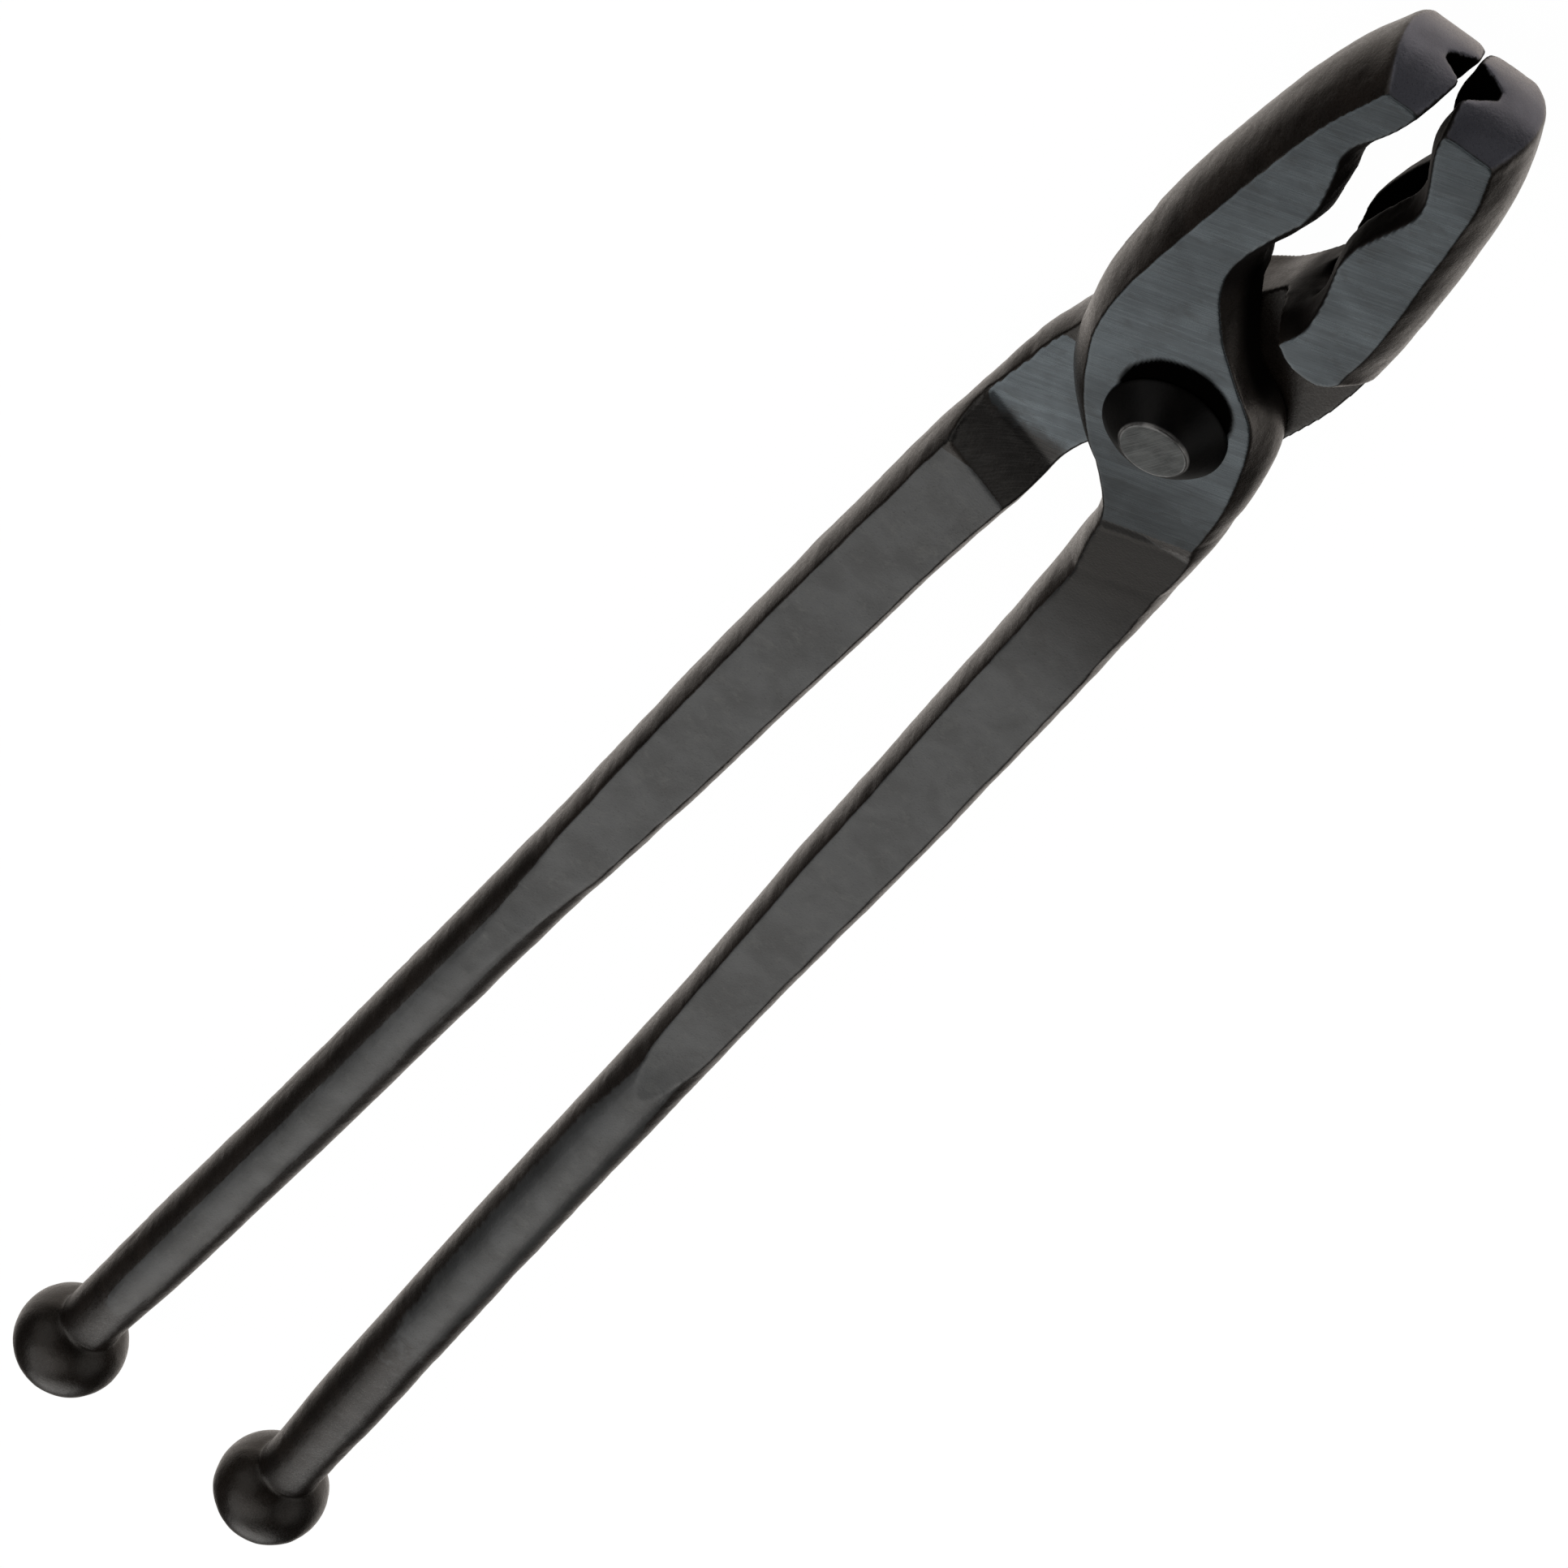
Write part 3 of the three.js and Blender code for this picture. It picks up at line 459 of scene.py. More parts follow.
def build_arm(name, flip, seed):
    s = arm_surface(*((REAR_HEAD, REAR_NOTCH, REAR_SLIM) if flip else (HEAD, NOTCH, 0.0)))
    # grid ripple off, flats kept flat
    boss_side = s.v[:, 0] > -25
    flat_top = boss_side & (np.abs(s.v[:, 2] - 7) < 0.6 * VOXEL)
    flat_back = boss_side & (np.abs(s.v[:, 2] + 7) < 0.6 * VOXEL)
    s.smooth(5, 1 - 0.65 * ramp(s.v[:, 0], 55, 58))
    local = s.v.copy()
    n = s.normals()
    x, y, z = local.T
    # broad rounding of the neck behind the ball
    neck = ramp(np.abs(x + 278.0), 4.5, 2.0)
    s.smooth(14, neck, keep=0.45)
    for sign, near in ((1, flat_top), (-1, flat_back)):
        on = near & (n[:, 2] * sign > 0.9)
        s.v[on, 2] = sign * 7.0
    n = s.normals()
    x, y, z = s.v.T
    up, down = ramp(n[:, 2], 0.72, 0.93), ramp(-n[:, 2], 0.72, 0.93)

    # where each finish and each painted shade, shadow and highlight lies (all in front-arm coordinates)
    bend_line = -16.4 + BEND_SKEW * (y + 8)
    ground = up * ramp(z, 6.5, 6.85) * ramp(x, bend_line - 0.25, bend_line + 0.25)
    ground = np.maximum(ground, down * ramp(-z, 6.5, 6.85) * ramp(x, -5, 5))
    root = ramp(-n[:, 2], 0.8, 0.97) * ramp(np.abs(z - 0.1), 0.9, 0.3) * ramp(x, -24.5, -23.0) * ramp(-x, 4.5, 6.0)
    ground = np.maximum(ground, root)
    # scoop: the ground ramp under the rein root, painted darker as shade
    scoop = ramp(-x, 16.6, 25.0) * ramp(x, -32.5, -28.6) * ramp(-n[:, 2], 0.4, 0.65) * ramp(-z, 4.12, 3.7)
    flats_and_top_sheen = up * ramp(-x, 16.4, 16.9) * (1 - ground)
    # on the round rein a painted highlight along the top, softer than the flats and fading towards the ball
    turned = ramp(-x, 150, 172)
    round_top_sheen = ramp(n[:, 2], 0.3, 1.0) * (0.22 + 0.68 * ramp(x, -262, -200)) * ramp(x, -272, -262)
    flats_and_top_sheen = flats_and_top_sheen * (1 - turned) + round_top_sheen * turned
    flats_down = ramp(-n[:, 2], 0.8, 0.94) * ramp(-x, 27.0, 28.0) * ramp(-z, 3.0, 3.7) * ramp(x, -272, -262)
    # painted shade on the rein flat just past the bend, where the face tilts away
    bend_shade = flats_and_top_sheen * ramp(x, -62, -26)
    # flat holds the rein flats and the painted highlight along the round rein's top
    flat = np.maximum(flats_and_top_sheen, flats_down)
    ends = ramp(n[:, 0], 0.55, 0.8) * ramp(x, 56, 58.5)
    # the jaws' inner faces, where shade between the jaws is painted darker; their hammered bumps are real
    mouth_shade = ramp(x, 20, 24) * ramp(-n[:, 1], 0.1, 0.5) * (1 - ends)
    table, notch = (REAR_HEAD, REAR_NOTCH) if flip else (HEAD, NOTCH)
    # painted near-black shade inside the jaw notch
    edge_rows = np.concatenate([table[[45]], table[:14]])[::-1]
    lip = np.interp(x, edge_rows[:, 2], edge_rows[:, 3]) + edge_rows[:, 7].max() * z * (x > 54)
    reach = np.where(z > notch[0], notch[1], notch[2])
    painted_notch_shade = (ramp(y - lip, 0.15, 0.45) * ramp(y - lip, 3.9, 3.3) * ramp(np.abs(z - notch[0]) / reach, 1.15, 0.95)
              * ramp(x, 22, 26) * ramp(n[:, 0], 0.72, 0.5))
    # painted near-black shade in the crotch between the arms
    painted_crotch_shade = ramp(x, 5.5, 9.5) * ramp(-x, -27, -23) * ramp(y, 7.0, 3.0) * ramp(np.abs(n[:, 2]), 0.75, 0.5)
    painted_crotch_shade = painted_crotch_shade * (ramp(z, 5.2, 3.0) if not flip else ramp(z, 5.2, 2.0))
    if flip:    # on the far side of the crotch the painted shade is broken up with noise
        painted_crotch_shade = painted_crotch_shade * (1 - ramp(x, 14, 19) * np.clip(0.75 + 0.5 * noise(s.v, (2.5, 1.6, 2.0), 77), 0, 1))

    # world coordinates for everything that must differ between the two arms
    if flip:
        s.v[:, 1:] *= -1
        n[:, 1:] *= -1
    p = s.v
    # painted light and shade: how bright the dressed faces are, from the rein root to the tip
    knots = ([-30, -17, -12, -5, 8, 20, 45, 62], [1.55, 1.5, 1.35, 1.3, 1.2, 1.12, 1.05, 0.88]) if flip else (
        [-30, -17, -12, -5, 8, 20, 45, 62], [0.50, 0.50, 0.56, 1.0, 1.22, 1.06, 0.98, 0.77])
    painted_ground_shading = np.interp(x, *knots)
    # painted shadow of the rivet head: a dark crescent on the ground face beside it
    painted_rivet_shadow = 0 * x
    if not flip:
        painted_rivet_shadow = ramp(np.hypot(x - 3.4, y + 0.2) + 0.12 * noise(p, 1.6, 71), 6.95, 6.45) * ramp(z, 6.0, 6.6)
    forged = np.clip(1 - ground - 0.75 * flat - 0.6 * ends, 0, 1)
    boss_inside = ramp(np.abs(np.abs(local[:, 2]) - BOSS_GAP), 0.25, 0.6)
    height = forged * (0.085 * noise(p, (9, 6, 6), seed) + 0.05 * noise(p, (3.2, 2.2, 2.2), seed + 5)
                       + 0.02 * noise(p, 1.0, seed + 9))
    height += flat * (0.035 * noise(p, (11, 7, 7), seed + 21) + 0.012 * noise(p, 2.5, seed + 22))
    height += ground * 0.012 * noise(p, (10, 7, 7), seed + 31)
    height += ends * 0.04 * noise(p, 4, seed + 41)
    height += mouth_shade * 0.10 * noise(p, (2.6, 2.0, 2.6), seed + 51)
    height -= scoop * 0.03 * (0.5 + 0.5 * noise(p, (0.9, 4, 4), seed + 61))
    # the lips keep their running clearance
    close = ramp(x, 49, 54) * ramp(-n[:, 1] * (-1 if flip else 1), 0.1, 0.5)
    s.v = p + n * (height * boss_inside * (1 - 0.85 * close))[:, None]

    bulge = s.bulge()
    for _ in range(2):
        bulge = 0.5 * bulge + 0.5 * s.mean(bulge)
    # lighter outside edges: partly real edge wear, partly painted highlight
    wear_and_glint = np.clip(bulge * 0.9 - 0.12, 0, 1)
    # painted shade, darker in hollows and creases
    crease_shade = np.clip(-bulge * 1.6 - 0.05, 0, 1)
    for _ in range(2):
        crease_shade = 0.5 * crease_shade + 0.5 * s.mean(crease_shade)

    ob = to_object(name, (s.v + PIVOT) * MM, s.faces)
    for key, values in (("ground", ground), ("flat", flat), ("bend_shade", bend_shade), ("scoop", scoop),
                        ("ends", ends), ("mouth_shade", mouth_shade), ("painted_notch_shade", painted_notch_shade), ("painted_crotch_shade", painted_crotch_shade), ("painted_ground_shading", painted_ground_shading), ("painted_rivet_shadow", painted_rivet_shadow),
                        ("wear_and_glint", wear_and_glint), ("crease_shade", crease_shade)):
        a = ob.data.attributes.new(key, "FLOAT", "POINT")
        a.data.foreach_set("value", np.asarray(values, np.float32))
    ob.data.shade_smooth()
    return ob


# ------------------------------------------------------------------ rivet
def build_rivet():
    """Turned profile with rolled rims, swept round the axis, then slightly beaten."""
    base, top, foot_r, top_r = 7.1, 10.95, 7.2, 4.05
    prof = [(0.0, -top), (3.2, -top), (3.7, -top + 0.01), (3.84, -top + 0.03),
            (top_r - 0.09, -top + 0.1), (top_r - 0.03, -top + 0.18), (top_r, -top + 0.27)]
    for i in range(1, 18):
        t = i / 18
        r = top_r + (foot_r - 0.04 - top_r) * t + 0.10 * math.sin(math.pi * t)
        prof.append((r, -top + 0.27 + (top - base - 0.27 - 0.25) * t))
    prof += [(foot_r - 0.02, -base - 0.2), (foot_r, -base - 0.1), (foot_r - 0.06, -base), (5.5, -base), (4.0, -base), (4.0, -4.0)]
    prof += [(4.0, 0.0)] + [(r, -z) for r, z in prof[::-1]]
    n = 192
    a = 2 * np.pi * np.arange(n) / n
    rings = [np.stack([r * np.cos(a), r * np.sin(a), np.full(n, z)], 1) for r, z in prof[1:-1]]
    verts, faces = skin(rings)
    # fine fans on the two flat tops, so that they can be dressed
    quads = [f for f in faces if len(f) == 4]
    verts_list, base_index = [verts], len(verts)
    first = list(range(n))
    last = [(len(rings) - 1) * n + i for i in range(n)]
    for ring, z, sign in ((first, -top, -1), (last, top, 1)):
        previous = ring
        for r in (2.6, 1.9, 1.25, 0.6):
            verts_list.append(np.stack([r * np.cos(a), r * np.sin(a), np.full(n, z)], 1))
            here = list(range(base_index, base_index + n))
            base_index += n
            for i in range(n):
                j = (i + 1) % n
                q = [previous[i], previous[j], here[j], here[i]]
                quads.append(q if sign > 0 else q[::-1])
            previous = here
        verts_list.append(np.array([[0, 0, z]]))
        for i in range(n):
            j = (i + 1) % n
            quads.append([previous[i], previous[j], base_index] if sign > 0 else [previous[j], previous[i], base_index])
        base_index += 1
    verts = np.concatenate(verts_list)
    r = np.hypot(verts[:, 0], verts[:, 1])
    out = np.sign(verts[:, 2])
    tall = np.abs(verts[:, 2])
    head = ramp(tall, 7.15, 7.6)
    crown = ramp(tall, 10.4, 10.6) * ramp(r, top_r + 0.02, top_r - 0.07)
    cap = ramp(tall, 10.6, 10.9)
    # lighter edge round the top: partly real wear, partly painted highlight
    rim_wear_and_glint = ramp(r, top_r - 0.30, top_r - 0.12) * ramp(r, top_r + 0.12, top_r) * ramp(tall, 10.45, 10.7)
    foot = ramp(tall, 7.7, 7.1)
    beat = noise(verts, 3.5, 301) * 0.06 + noise(verts, 1.2, 302) * 0.02
    radial = np.stack([verts[:, 0], verts[:, 1], 0 * r], 1) / np.maximum(r, 1e-6)[:, None]
    verts = verts + radial * (beat * head * ramp(r, 0.5, 3))[:, None]
    # the flat tops are dressed out of square, and the hand-set heads sit off the shank
    rise = np.clip((tall - base) / (top - base), 0, 1) ** 2
    verts[:, 2] += out * (HEAD_TILT * verts[:, 0] * rise + cap * (0.05 * noise(verts, 2.6, 303) - 0.05))
    off = ramp(tall, 7.0, 7.05)
    verts[:, 0] += HEAD_OFF[0] * off
    verts[:, 1] += HEAD_OFF[1] * off * out
    ob = outward(to_object("rivet_body", (verts + PIVOT) * MM, quads))
    for key, values in (("crown", crown), ("rim_wear_and_glint", rim_wear_and_glint), ("foot", foot)):
        at = ob.data.attributes.new(key, "FLOAT", "POINT")
        at.data.foreach_set("value", np.asarray(values, np.float32))
    ob.data.shade_smooth()
    return ob


# ------------------------------------------------------------------ material node helper
class Nodes:
    def __init__(self, name):
        self.mat = bpy.data.materials.new(name)
        self.mat.use_nodes = True
        self.t = self.mat.node_tree
        self.t.nodes.clear()
        self.coord = self.t.nodes.new("ShaderNodeTexCoord").outputs["Object"]

    def put(self, socket, value):
        if value is None:
            return
        if hasattr(value, "is_output"):
            self.t.links.new(value, socket)
        elif isinstance(value, (tuple, list)):
            socket.default_value = tuple(value) + ((1.0,) if len(value) == 3 and socket.type == "RGBA" else ())
        else:
            socket.default_value = value

    def attr(self, name):
        node = self.t.nodes.new("ShaderNodeAttribute")
        node.attribute_name = name
        return node.outputs["Fac"]

    def math(self, op, a, b=None, c=None, clamp=False):
        node = self.t.nodes.new("ShaderNodeMath")
        node.operation, node.use_clamp = op, clamp
        self.put(node.inputs[0], a)
        self.put(node.inputs[1], b)
        self.put(node.inputs[2], c)
        return node.outputs[0]

    def mapping(self, scale, angle=0.0, offset=(0, 0, 0)):
        """Coordinates in mm, turned by angle about Z, then stretched."""
        turn = self.t.nodes.new("ShaderNodeMapping")
        turn.vector_type = "POINT"
        turn.inputs["Rotation"].default_value = (0, 0, angle)
        turn.inputs["Scale"].default_value = (1000, 1000, 1000)
        self.t.links.new(self.coord, turn.inputs["Vector"])
        stretch = self.t.nodes.new("ShaderNodeMapping")
        stretch.inputs["Scale"].default_value = scale
        stretch.inputs["Location"].default_value = offset
        self.t.links.new(turn.outputs[0], stretch.inputs["Vector"])
        return stretch.outputs[0]

    def noise(self, scale=(1, 1, 1), angle=0.0, detail=3.0, rough=0.55, distort=0.0, offset=(0, 0, 0), lac=2.0):
        node = self.t.nodes.new("ShaderNodeTexNoise")
        node.inputs["Scale"].default_value = 1.0
        node.inputs["Detail"].default_value = detail
        node.inputs["Roughness"].default_value = rough
        node.inputs["Lacunarity"].default_value = lac
        node.inputs["Distortion"].default_value = distort
        self.t.links.new(self.mapping(scale, angle, offset), node.inputs["Vector"])
        return node.outputs["Fac"]

    def voronoi(self, scale=(1, 1, 1), offset=(0, 0, 0), feature="F1"):
        node = self.t.nodes.new("ShaderNodeTexVoronoi")
        node.feature = feature
        node.inputs["Scale"].default_value = 1.0
        self.t.links.new(self.mapping(scale, 0, offset), node.inputs["Vector"])
        return node.outputs["Distance"]

    def fit(self, value, a, b, lo=0.0, hi=1.0, smooth=True):
        node = self.t.nodes.new("ShaderNodeMapRange")
        node.interpolation_type = "SMOOTHSTEP" if smooth else "LINEAR"
        self.put(node.inputs["Value"], value)
        node.inputs["From Min"].default_value, node.inputs["From Max"].default_value = a, b
        node.inputs["To Min"].default_value, node.inputs["To Max"].default_value = lo, hi
        return node.outputs[0]

    def mix(self, fac, a, b, mode="MIX"):
        node = self.t.nodes.new("ShaderNodeMix")
        node.data_type, node.blend_type = "RGBA", mode
        self.put(node.inputs["Factor"], fac)
        self.put(node.inputs[6], a)
        self.put(node.inputs[7], b)
        return node.outputs[2]

    def lerp(self, fac, a, b):
        node = self.t.nodes.new("ShaderNodeMix")
        node.data_type = "FLOAT"
        self.put(node.inputs[0], fac)
        self.put(node.inputs[2], a)
        self.put(node.inputs[3], b)
        return node.outputs[0]

    def bump(self, height, distance, normal=None, strength=1.0):
        node = self.t.nodes.new("ShaderNodeBump")
        node.inputs["Strength"].default_value = strength
        node.inputs["Distance"].default_value = distance
        self.put(node.inputs["Height"], height)
        self.put(node.inputs["Normal"], normal)
        return node.outputs[0]

    def surface(self, **inputs):
        bsdf = self.t.nodes.new("ShaderNodeBsdfPrincipled")
        for key, value in inputs.items():
            self.put(bsdf.inputs[key.replace("_", " ")], value)
        out = self.t.nodes.new("ShaderNodeOutputMaterial")
        self.t.links.new(bsdf.outputs[0], out.inputs["Surface"])
        return bsdf


BRUSH = math.radians(67)   # turn that lays the stretched grain along the grinding marks


def arm_material(name, shift):
    k = Nodes(name)
    off = (shift, shift * 0.7, shift * 1.3)
    ground, flat, bend_shade, scoop = k.attr("ground"), k.attr("flat"), k.attr("bend_shade"), k.attr("scoop")
    ends, mouth_shade, wear_and_glint, crease_shade = k.attr("ends"), k.attr("mouth_shade"), k.attr("wear_and_glint"), k.attr("crease_shade")
    # painted shade and shadow: the notch, the rivet head's shadow and the crotch between the arms go near-black
    black = k.math("MAXIMUM", k.math("MAXIMUM", k.attr("painted_notch_shade"), k.attr("painted_rivet_shadow")), k.math("MULTIPLY", k.attr("painted_crotch_shade"), 0.88))

    # grain: long fine grinding marks, a second set of broader ones, and cloudy mottling
    fine = k.noise((0.16, 5.5, 0.5), BRUSH, 4, 0.62, 0.2, off)
    broad = k.noise((0.07, 1.1, 0.2), BRUSH, 3, 0.55, 0.3, off)
    cloud = k.noise((0.16, 0.16, 0.16), 0, 3, 0.5, 0.4, off)
    mottle = k.noise((0.55, 0.55, 0.55), 0, 4, 0.6, 0.5, off)
    speck = k.noise((3.2, 3.2, 3.2), 0, 3, 0.6, 0.0, off)
    blotch = k.noise((0.30, 0.42, 0.3), BRUSH, 4, 0.6, 0.8, (off[0] + 5, off[1], off[2]))

    # edges of the finishes are ragged
    ragged = k.math("MULTIPLY", k.math("SUBTRACT", mottle, 0.5), 0.5)
    g = k.fit(k.math("ADD", ground, ragged), 0.42, 0.58)
    f = k.fit(k.math("ADD", flat, ragged), 0.40, 0.60)
    sc = k.fit(k.math("ADD", scoop, k.math("ADD", ragged, k.math("MULTIPLY", k.math("SUBTRACT", fine, 0.5), 0.6))), 0.22, 0.78)

    # forged scale
    scale_dark = k.mix(k.fit(cloud, 0.35, 0.7), (0.0085, 0.0060, 0.0046), (0.0170, 0.0122, 0.0095))
    scale_dark = k.mix(k.fit(mottle, 0.60, 0.80, 0, 0.30), scale_dark, (0.032, 0.024, 0.019))
    # rein flats, and the painted highlight along the round rein's top
    flat_col = k.mix(k.fit(cloud, 0.30, 0.70), (0.062, 0.064, 0.065), (0.086, 0.089, 0.091))
    flat_col = k.mix(k.fit(mottle, 0.5, 0.8, 0, 0.6), flat_col, (0.105, 0.107, 0.104))
    flat_col = k.mix(k.fit(speck, 0.60, 0.72, 0, 0.35), flat_col, (0.018, 0.014, 0.012))
    # painted shade on the rein flat past the bend
    flat_col = k.mix(k.math("MULTIPLY", bend_shade, 0.95, clamp=True), flat_col, (0.0095, 0.0092, 0.0092))
    # ground faces
    ground_col = k.mix(k.fit(cloud, 0.3, 0.7), (0.058, 0.067, 0.073), (0.083, 0.096, 0.104))
    ground_col = k.mix(k.fit(broad, 0.42, 0.62, 0, 0.25), ground_col, (0.042, 0.046, 0.049))
    ground_col = k.mix(k.fit(fine, 0.46, 0.70, 0, 0.30), ground_col, (0.105, 0.115, 0.122))
    ground_col = k.mix(k.fit(blotch, 0.50, 0.72, 0, 0.40), ground_col, (0.042, 0.044, 0.045))
    ground_col = k.mix(k.fit(speck, 0.64, 0.76, 0, 0.35), ground_col, (0.022, 0.019, 0.017))
    # painted light and shade along the dressed faces
    ground_col = k.mix(1.0, ground_col, k.attr("painted_ground_shading"), "MULTIPLY")
    # painted shade on the scoop, with its grinding streaks
    scoop_shade_col = k.mix(k.fit(fine, 0.45, 0.62, 0, 0.7), (0.008, 0.0074, 0.0074), (0.034, 0.032, 0.032))
    end_col = k.mix(k.fit(cloud, 0.3, 0.7), (0.118, 0.119, 0.143), (0.170, 0.172, 0.204))

    col = k.mix(f, scale_dark, flat_col)
    col = k.mix(ends, col, end_col)
    col = k.mix(g, col, ground_col)
    col = k.mix(sc, col, scoop_shade_col)
    # outside edges lighter: partly real edge wear, partly painted highlight
    edge_wear_and_glint = k.math("MULTIPLY", wear_and_glint, k.fit(mottle, 0.40, 0.70, 0.1, 1.0), clamp=True)
    # painted shade on the jaws' inner faces
    col = k.mix(k.math("MULTIPLY", mouth_shade, 0.75), col, (0.0035, 0.0028, 0.0026))
    col = k.mix(k.math("MULTIPLY", edge_wear_and_glint, 0.45), col, (0.115, 0.108, 0.102))
    # painted shade in hollows and creases
    col = k.mix(k.math("MULTIPLY", crease_shade, 0.9, clamp=True), col, (0.004, 0.0035, 0.0035))
    # painted shade and shadow, near-black
    col = k.mix(black, col, (0.0012, 0.0010, 0.0009))

    bare = k.math("MAXIMUM", g, k.math("MULTIPLY", f, 0.6))
    metal = k.lerp(k.math("MULTIPLY", bare, k.math("SUBTRACT", 1.0, k.math("MULTIPLY", sc, 0.7))), 0.0, 0.85)
    metal = k.lerp(k.math("MULTIPLY", ends, k.math("SUBTRACT", 1.0, g)), metal, 0.45)
    metal = k.math("MULTIPLY", metal, k.math("SUBTRACT", 1.0, black))
    rough = k.lerp(g, k.fit(speck, 0.3, 0.7, 0.26, 0.38), k.fit(broad, 0.3, 0.7, 0.24, 0.32))
    rough = k.lerp(k.math("MULTIPLY", f, 0.7), rough, 0.38)
    rough = k.lerp(k.math("MAXIMUM", mouth_shade, black), rough, 0.6)

    grain = k.math("MULTIPLY", k.math("SUBTRACT", fine, 0.5), g)
    pits = k.math("MULTIPLY", k.math("SUBTRACT", speck, 0.5), k.math("SUBTRACT", 1.0, k.math("MULTIPLY", g, 0.85)))
    n1 = k.bump(grain, 0.00003, None, 0.5)
    n2 = k.bump(pits, 0.00006, n1, 0.5)
    k.surface(Base_Color=col, Metallic=metal, Roughness=rough, Normal=n2, 
              Specular_IOR_Level=k.lerp(black, k.lerp(k.math("MAXIMUM", mouth_shade, bend_shade), 0.42, 0.11), 0.0),
              Specular_Tint=(1.0, 0.94, 0.88))
    return k.mat


def rivet_material():
    k = Nodes("rivet_steel")
    crown, rim_wear_and_glint, foot = k.attr("crown"), k.attr("rim_wear_and_glint"), k.attr("foot")
    fine = k.noise((0.25, 7.0, 0.5), math.radians(20), 4, 0.6, 0.2)
    cloud = k.noise((0.4, 0.4, 0.4), 0, 3, 0.5, 0.3)
    speck = k.noise((2.6, 2.6, 2.6), 0, 3, 0.6)
    black = k.mix(k.fit(cloud, 0.35, 0.7), (0.0020, 0.0016, 0.0014), (0.0050, 0.0040, 0.0034))
    top = k.mix(k.fit(cloud, 0.3, 0.7), (0.026, 0.027, 0.026), (0.052, 0.054, 0.052))
    top = k.mix(k.fit(fine, 0.42, 0.65, 0, 0.5), top, (0.088, 0.090, 0.088))
    top = k.mix(k.fit(speck, 0.62, 0.75, 0, 0.5), top, (0.03, 0.03, 0.03))
    c = k.fit(k.math("ADD", crown, k.math("MULTIPLY", k.math("SUBTRACT", cloud, 0.5), 0.4)), 0.35, 0.6)
    col = k.mix(c, black, top)
    # lighter edge round the top: partly real wear, partly painted highlight
    col = k.mix(k.math("MULTIPLY", rim_wear_and_glint, k.fit(cloud, 0.35, 0.65, 0.25, 0.9), clamp=True), col, (0.40, 0.39, 0.38))
    rough = k.lerp(c, 0.42, 0.36)
    n1 = k.bump(k.math("MULTIPLY", fine, c), 0.00004, None, 0.5)
    n2 = k.bump(speck, 0.00006, n1, 0.4)
    k.surface(Base_Color=col, Metallic=k.lerp(c, 0.2, 0.9), Roughness=rough, Normal=n2, Specular_IOR_Level=k.lerp(c, 0.2, 0.5))
    return k.mat


# ------------------------------------------------------------------ pieces
front = build_arm("front_arm_forging", False, 11)
rear = build_arm("rear_arm_forging", True, 83)
rivet = build_rivet()

front.data.materials.append(arm_material("front_arm_steel", 0.0))
rear.data.materials.append(arm_material("rear_arm_steel", 37.0))
rivet.data.materials.append(rivet_material())

for piece, body, node, slot in ((front, "front", "front_arm", "front_arm_steel"),
                                (rear, "rear", "rear_arm", "rear_arm_steel"),
                                (rivet, "front", "pivot_rivet", "rivet_steel")):
    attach(piece, body)
    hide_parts(node)

# ------------------------------------------------------------------ shader helper for the stage
class Stage:
    def __init__(self, tree):
        self.t = tree
        self.t.nodes.clear()

    def new(self, kind, **defaults):
        node = self.t.nodes.new(kind)
        for key, value in defaults.items():
            node.inputs[key.replace("_", " ")].default_value = value
        return node

    def math(self, op, a, b=0.0):
        node = self.t.nodes.new("ShaderNodeMath")
        node.operation = op
        for i, q in enumerate((a, b)):
            if hasattr(q, "is_output"):
                self.t.links.new(q, node.inputs[i])
            else:
                node.inputs[i].default_value = q
        return node.outputs[0]

    def fit(self, value, a, b, lo=0.0, hi=1.0):
        node = self.t.nodes.new("ShaderNodeMapRange")
        node.interpolation_type = "SMOOTHSTEP"
        self.t.links.new(value, node.inputs["Value"])
        for key, v in (("From Min", a), ("From Max", b), ("To Min", lo), ("To Max", hi)):
            node.inputs[key].default_value = v
        return node.outputs[0]

    def mix(self, fac, a, b):
        node = self.t.nodes.new("ShaderNodeMixShader")
        if hasattr(fac, "is_output"):
            self.t.links.new(fac, node.inputs[0])
        else:
            node.inputs[0].default_value = fac
        self.t.links.new(a, node.inputs[1])
        self.t.links.new(b, node.inputs[2])
        return node.outputs[0]

    def towards(self, direction, inner, outer):
        """1 in a cone about a direction, fading to 0; angles in degrees."""
        tc = self.t.nodes.new("ShaderNodeTexCoord")
        dot = self.t.nodes.new("ShaderNodeVectorMath")
        dot.operation = "DOT_PRODUCT"
        self.t.links.new(tc.outputs["Generated"], dot.inputs[0])
        dot.inputs[1].default_value = Vector(direction).normalized()
        return self.fit(dot.outputs["Value"], math.cos(math.radians(outer)), math.cos(math.radians(inner)))


# ------------------------------------------------------------------ floor: white paper, dim where a glancing reflection would meet it
floor_z = CAD_LO.z - 0.0004
floor = to_object("floor", [(-4, -4, floor_z), (4, -4, floor_z), (4, 4, floor_z), (-4, 4, floor_z)], [(0, 1, 2, 3)])
fm = bpy.data.materials.new("floor_white")
fm.use_nodes = True
s = Stage(fm.node_tree)
out = s.new("ShaderNodeOutputMaterial")
diffuse = s.new("ShaderNodeBsdfDiffuse", Color=(0.9, 0.9, 0.9, 1))
white = s.new("ShaderNodeEmission", Color=(1, 1, 1, 1), Strength=1.03)
paper = s.new("ShaderNodeEmission", Color=(1, 0.93, 0.87, 1))
clear = s.new("ShaderNodeBsdfTransparent")
path, geo = s.new("ShaderNodeLightPath"), s.new("ShaderNodeNewGeometry")
split = s.new("ShaderNodeSeparateXYZ")
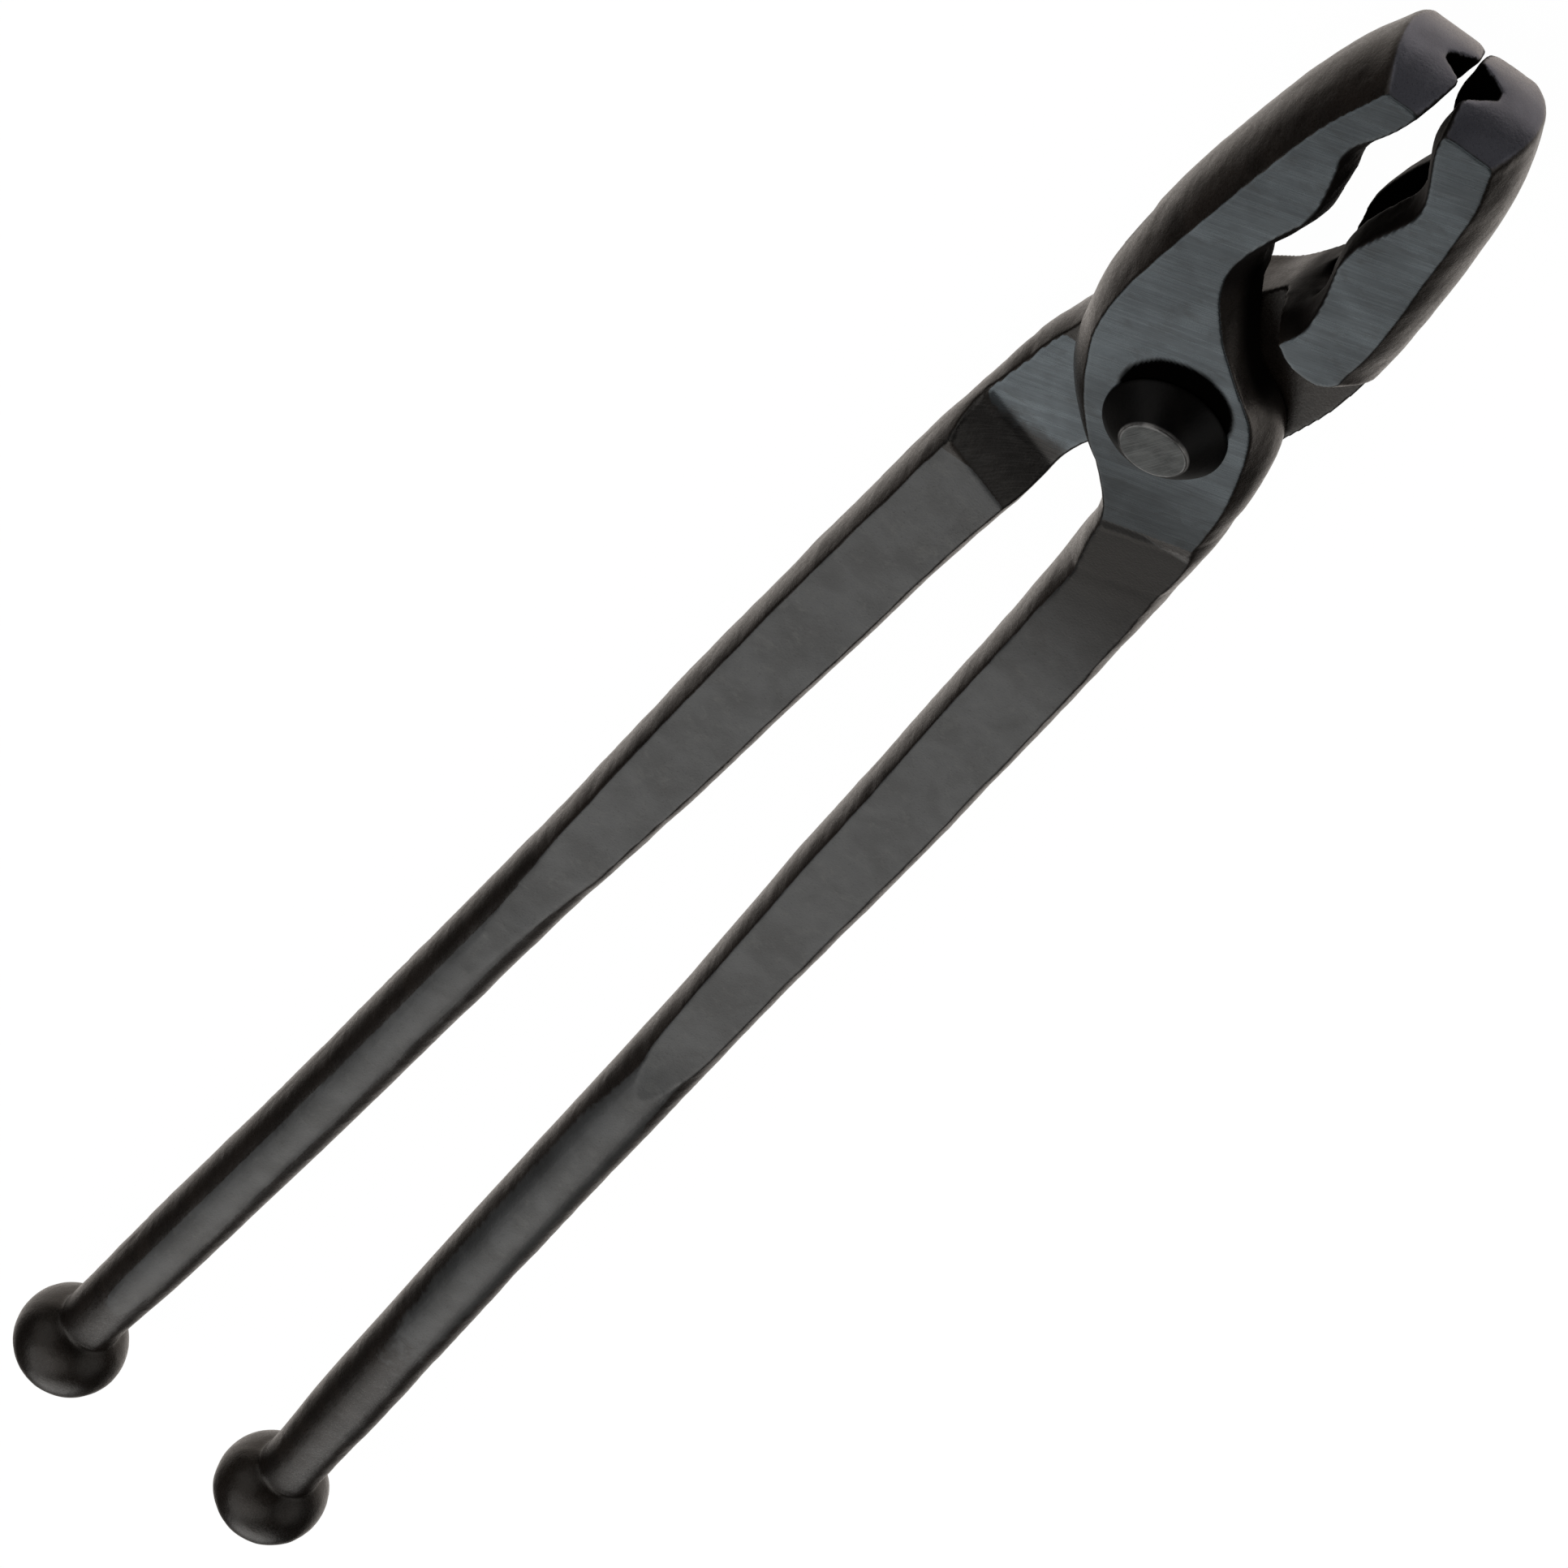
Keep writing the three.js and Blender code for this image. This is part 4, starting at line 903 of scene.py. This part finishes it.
s.t.links.new(geo.outputs["Incoming"], split.inputs[0])
steep = s.math("ABSOLUTE", split.outputs[2])
s.t.links.new(s.fit(steep, FLOOR_NEAR, FLOOR_FAR, 0.02, FLOOR_GLOW), paper.inputs["Strength"])
seen = s.mix(0.96, diffuse.outputs[0], white.outputs[0])
soft = s.new("ShaderNodeEmission", Color=(1, 0.98, 0.96, 1), Strength=FLOOR_SOFT)
pick = s.mix(path.outputs["Is Diffuse Ray"], diffuse.outputs[0], soft.outputs[0])
pick = s.mix(path.outputs["Is Glossy Ray"], pick, paper.outputs[0])
pick = s.mix(path.outputs["Is Camera Ray"], pick, seen)
side = s.mix(geo.outputs["Backfacing"], pick, clear.outputs[0])
s.t.links.new(side, out.inputs["Surface"])
floor.data.materials.append(fm)

# ------------------------------------------------------------------ light: a dark studio with one big soft panel behind and above the tool
world = bpy.data.worlds.new("studio")
bpy.context.scene.world = world
world.use_nodes = True
s = Stage(world.node_tree)
out = s.new("ShaderNodeOutputWorld")
level = s.math("MULTIPLY", s.towards(PANEL_AIM, *PANEL_CONE), PANEL_GLOW)
level = s.math("ADD", level, s.math("MULTIPLY", s.towards((0, 0, 1), 5, 27), TOP_GLOW))
for way in (1, -1):
    level = s.math("ADD", level, s.math("MULTIPLY", s.towards((0.3, 0.8 * way, 0.5), 8, 34), SIDE_GLOW))
level = s.math("ADD", level, AMBIENT)
bg = s.new("ShaderNodeBackground", Color=(1.0, 0.995, 0.985, 1))
s.t.links.new(level, bg.inputs["Strength"])
white = s.new("ShaderNodeBackground", Color=(1, 1, 1, 1), Strength=1.0)
lp = s.new("ShaderNodeLightPath")
s.t.links.new(s.mix(lp.outputs["Is Camera Ray"], bg.outputs[0], white.outputs[0]), out.inputs["Surface"])


def softbox(name, place, aim, size, power, color=(1, 1, 1)):
    data = bpy.data.lights.new(name, "AREA")
    data.shape, data.size, data.size_y = "RECTANGLE", size[0], size[1]
    data.energy, data.color = power, color
    ob = bpy.data.objects.new(name, data)
    bpy.context.scene.collection.objects.link(ob)
    ob.location = place
    ob.rotation_euler = (Vector(aim) - Vector(place)).to_track_quat("-Z", "Y").to_euler()
    return ob


softbox("key", (-0.6, 0.5, 1.0), (0, 0, 0), (1.0, 1.0), KEY_POWER)

# ------------------------------------------------------------------ camera
R = np.array([[0.4418789271059612, -0.8122461701292618, -0.3807875692430505],
              [-0.4534065740882252, -0.5684867869467575, 0.6864730523775354],
              [-0.7740578094388452, -0.13068638864586546, -0.6194800848045388]])
place = Vector((0.6559855040606575, 0.12730196144315269, 0.6028943061084635)) + Vector(PIVOT * MM)
data = bpy.data.cameras.new("camera")
data.sensor_width, data.sensor_fit = 36.0, "HORIZONTAL"
data.lens = 10193.4317251005 / 1932 * 36
data.clip_start, data.clip_end = 0.01, 20
camera = bpy.data.objects.new("camera", data)
bpy.context.scene.collection.objects.link(camera)
turn = Matrix((R[0], -R[1], -R[2])).transposed().to_4x4()
camera.matrix_world = Matrix.Translation(place) @ turn
bpy.context.scene.camera = camera

scene = bpy.context.scene
scene.view_settings.view_transform = "Standard"
scene.view_settings.look = "None"
scene.view_settings.exposure = 0.0
scene.view_settings.gamma = 1.0
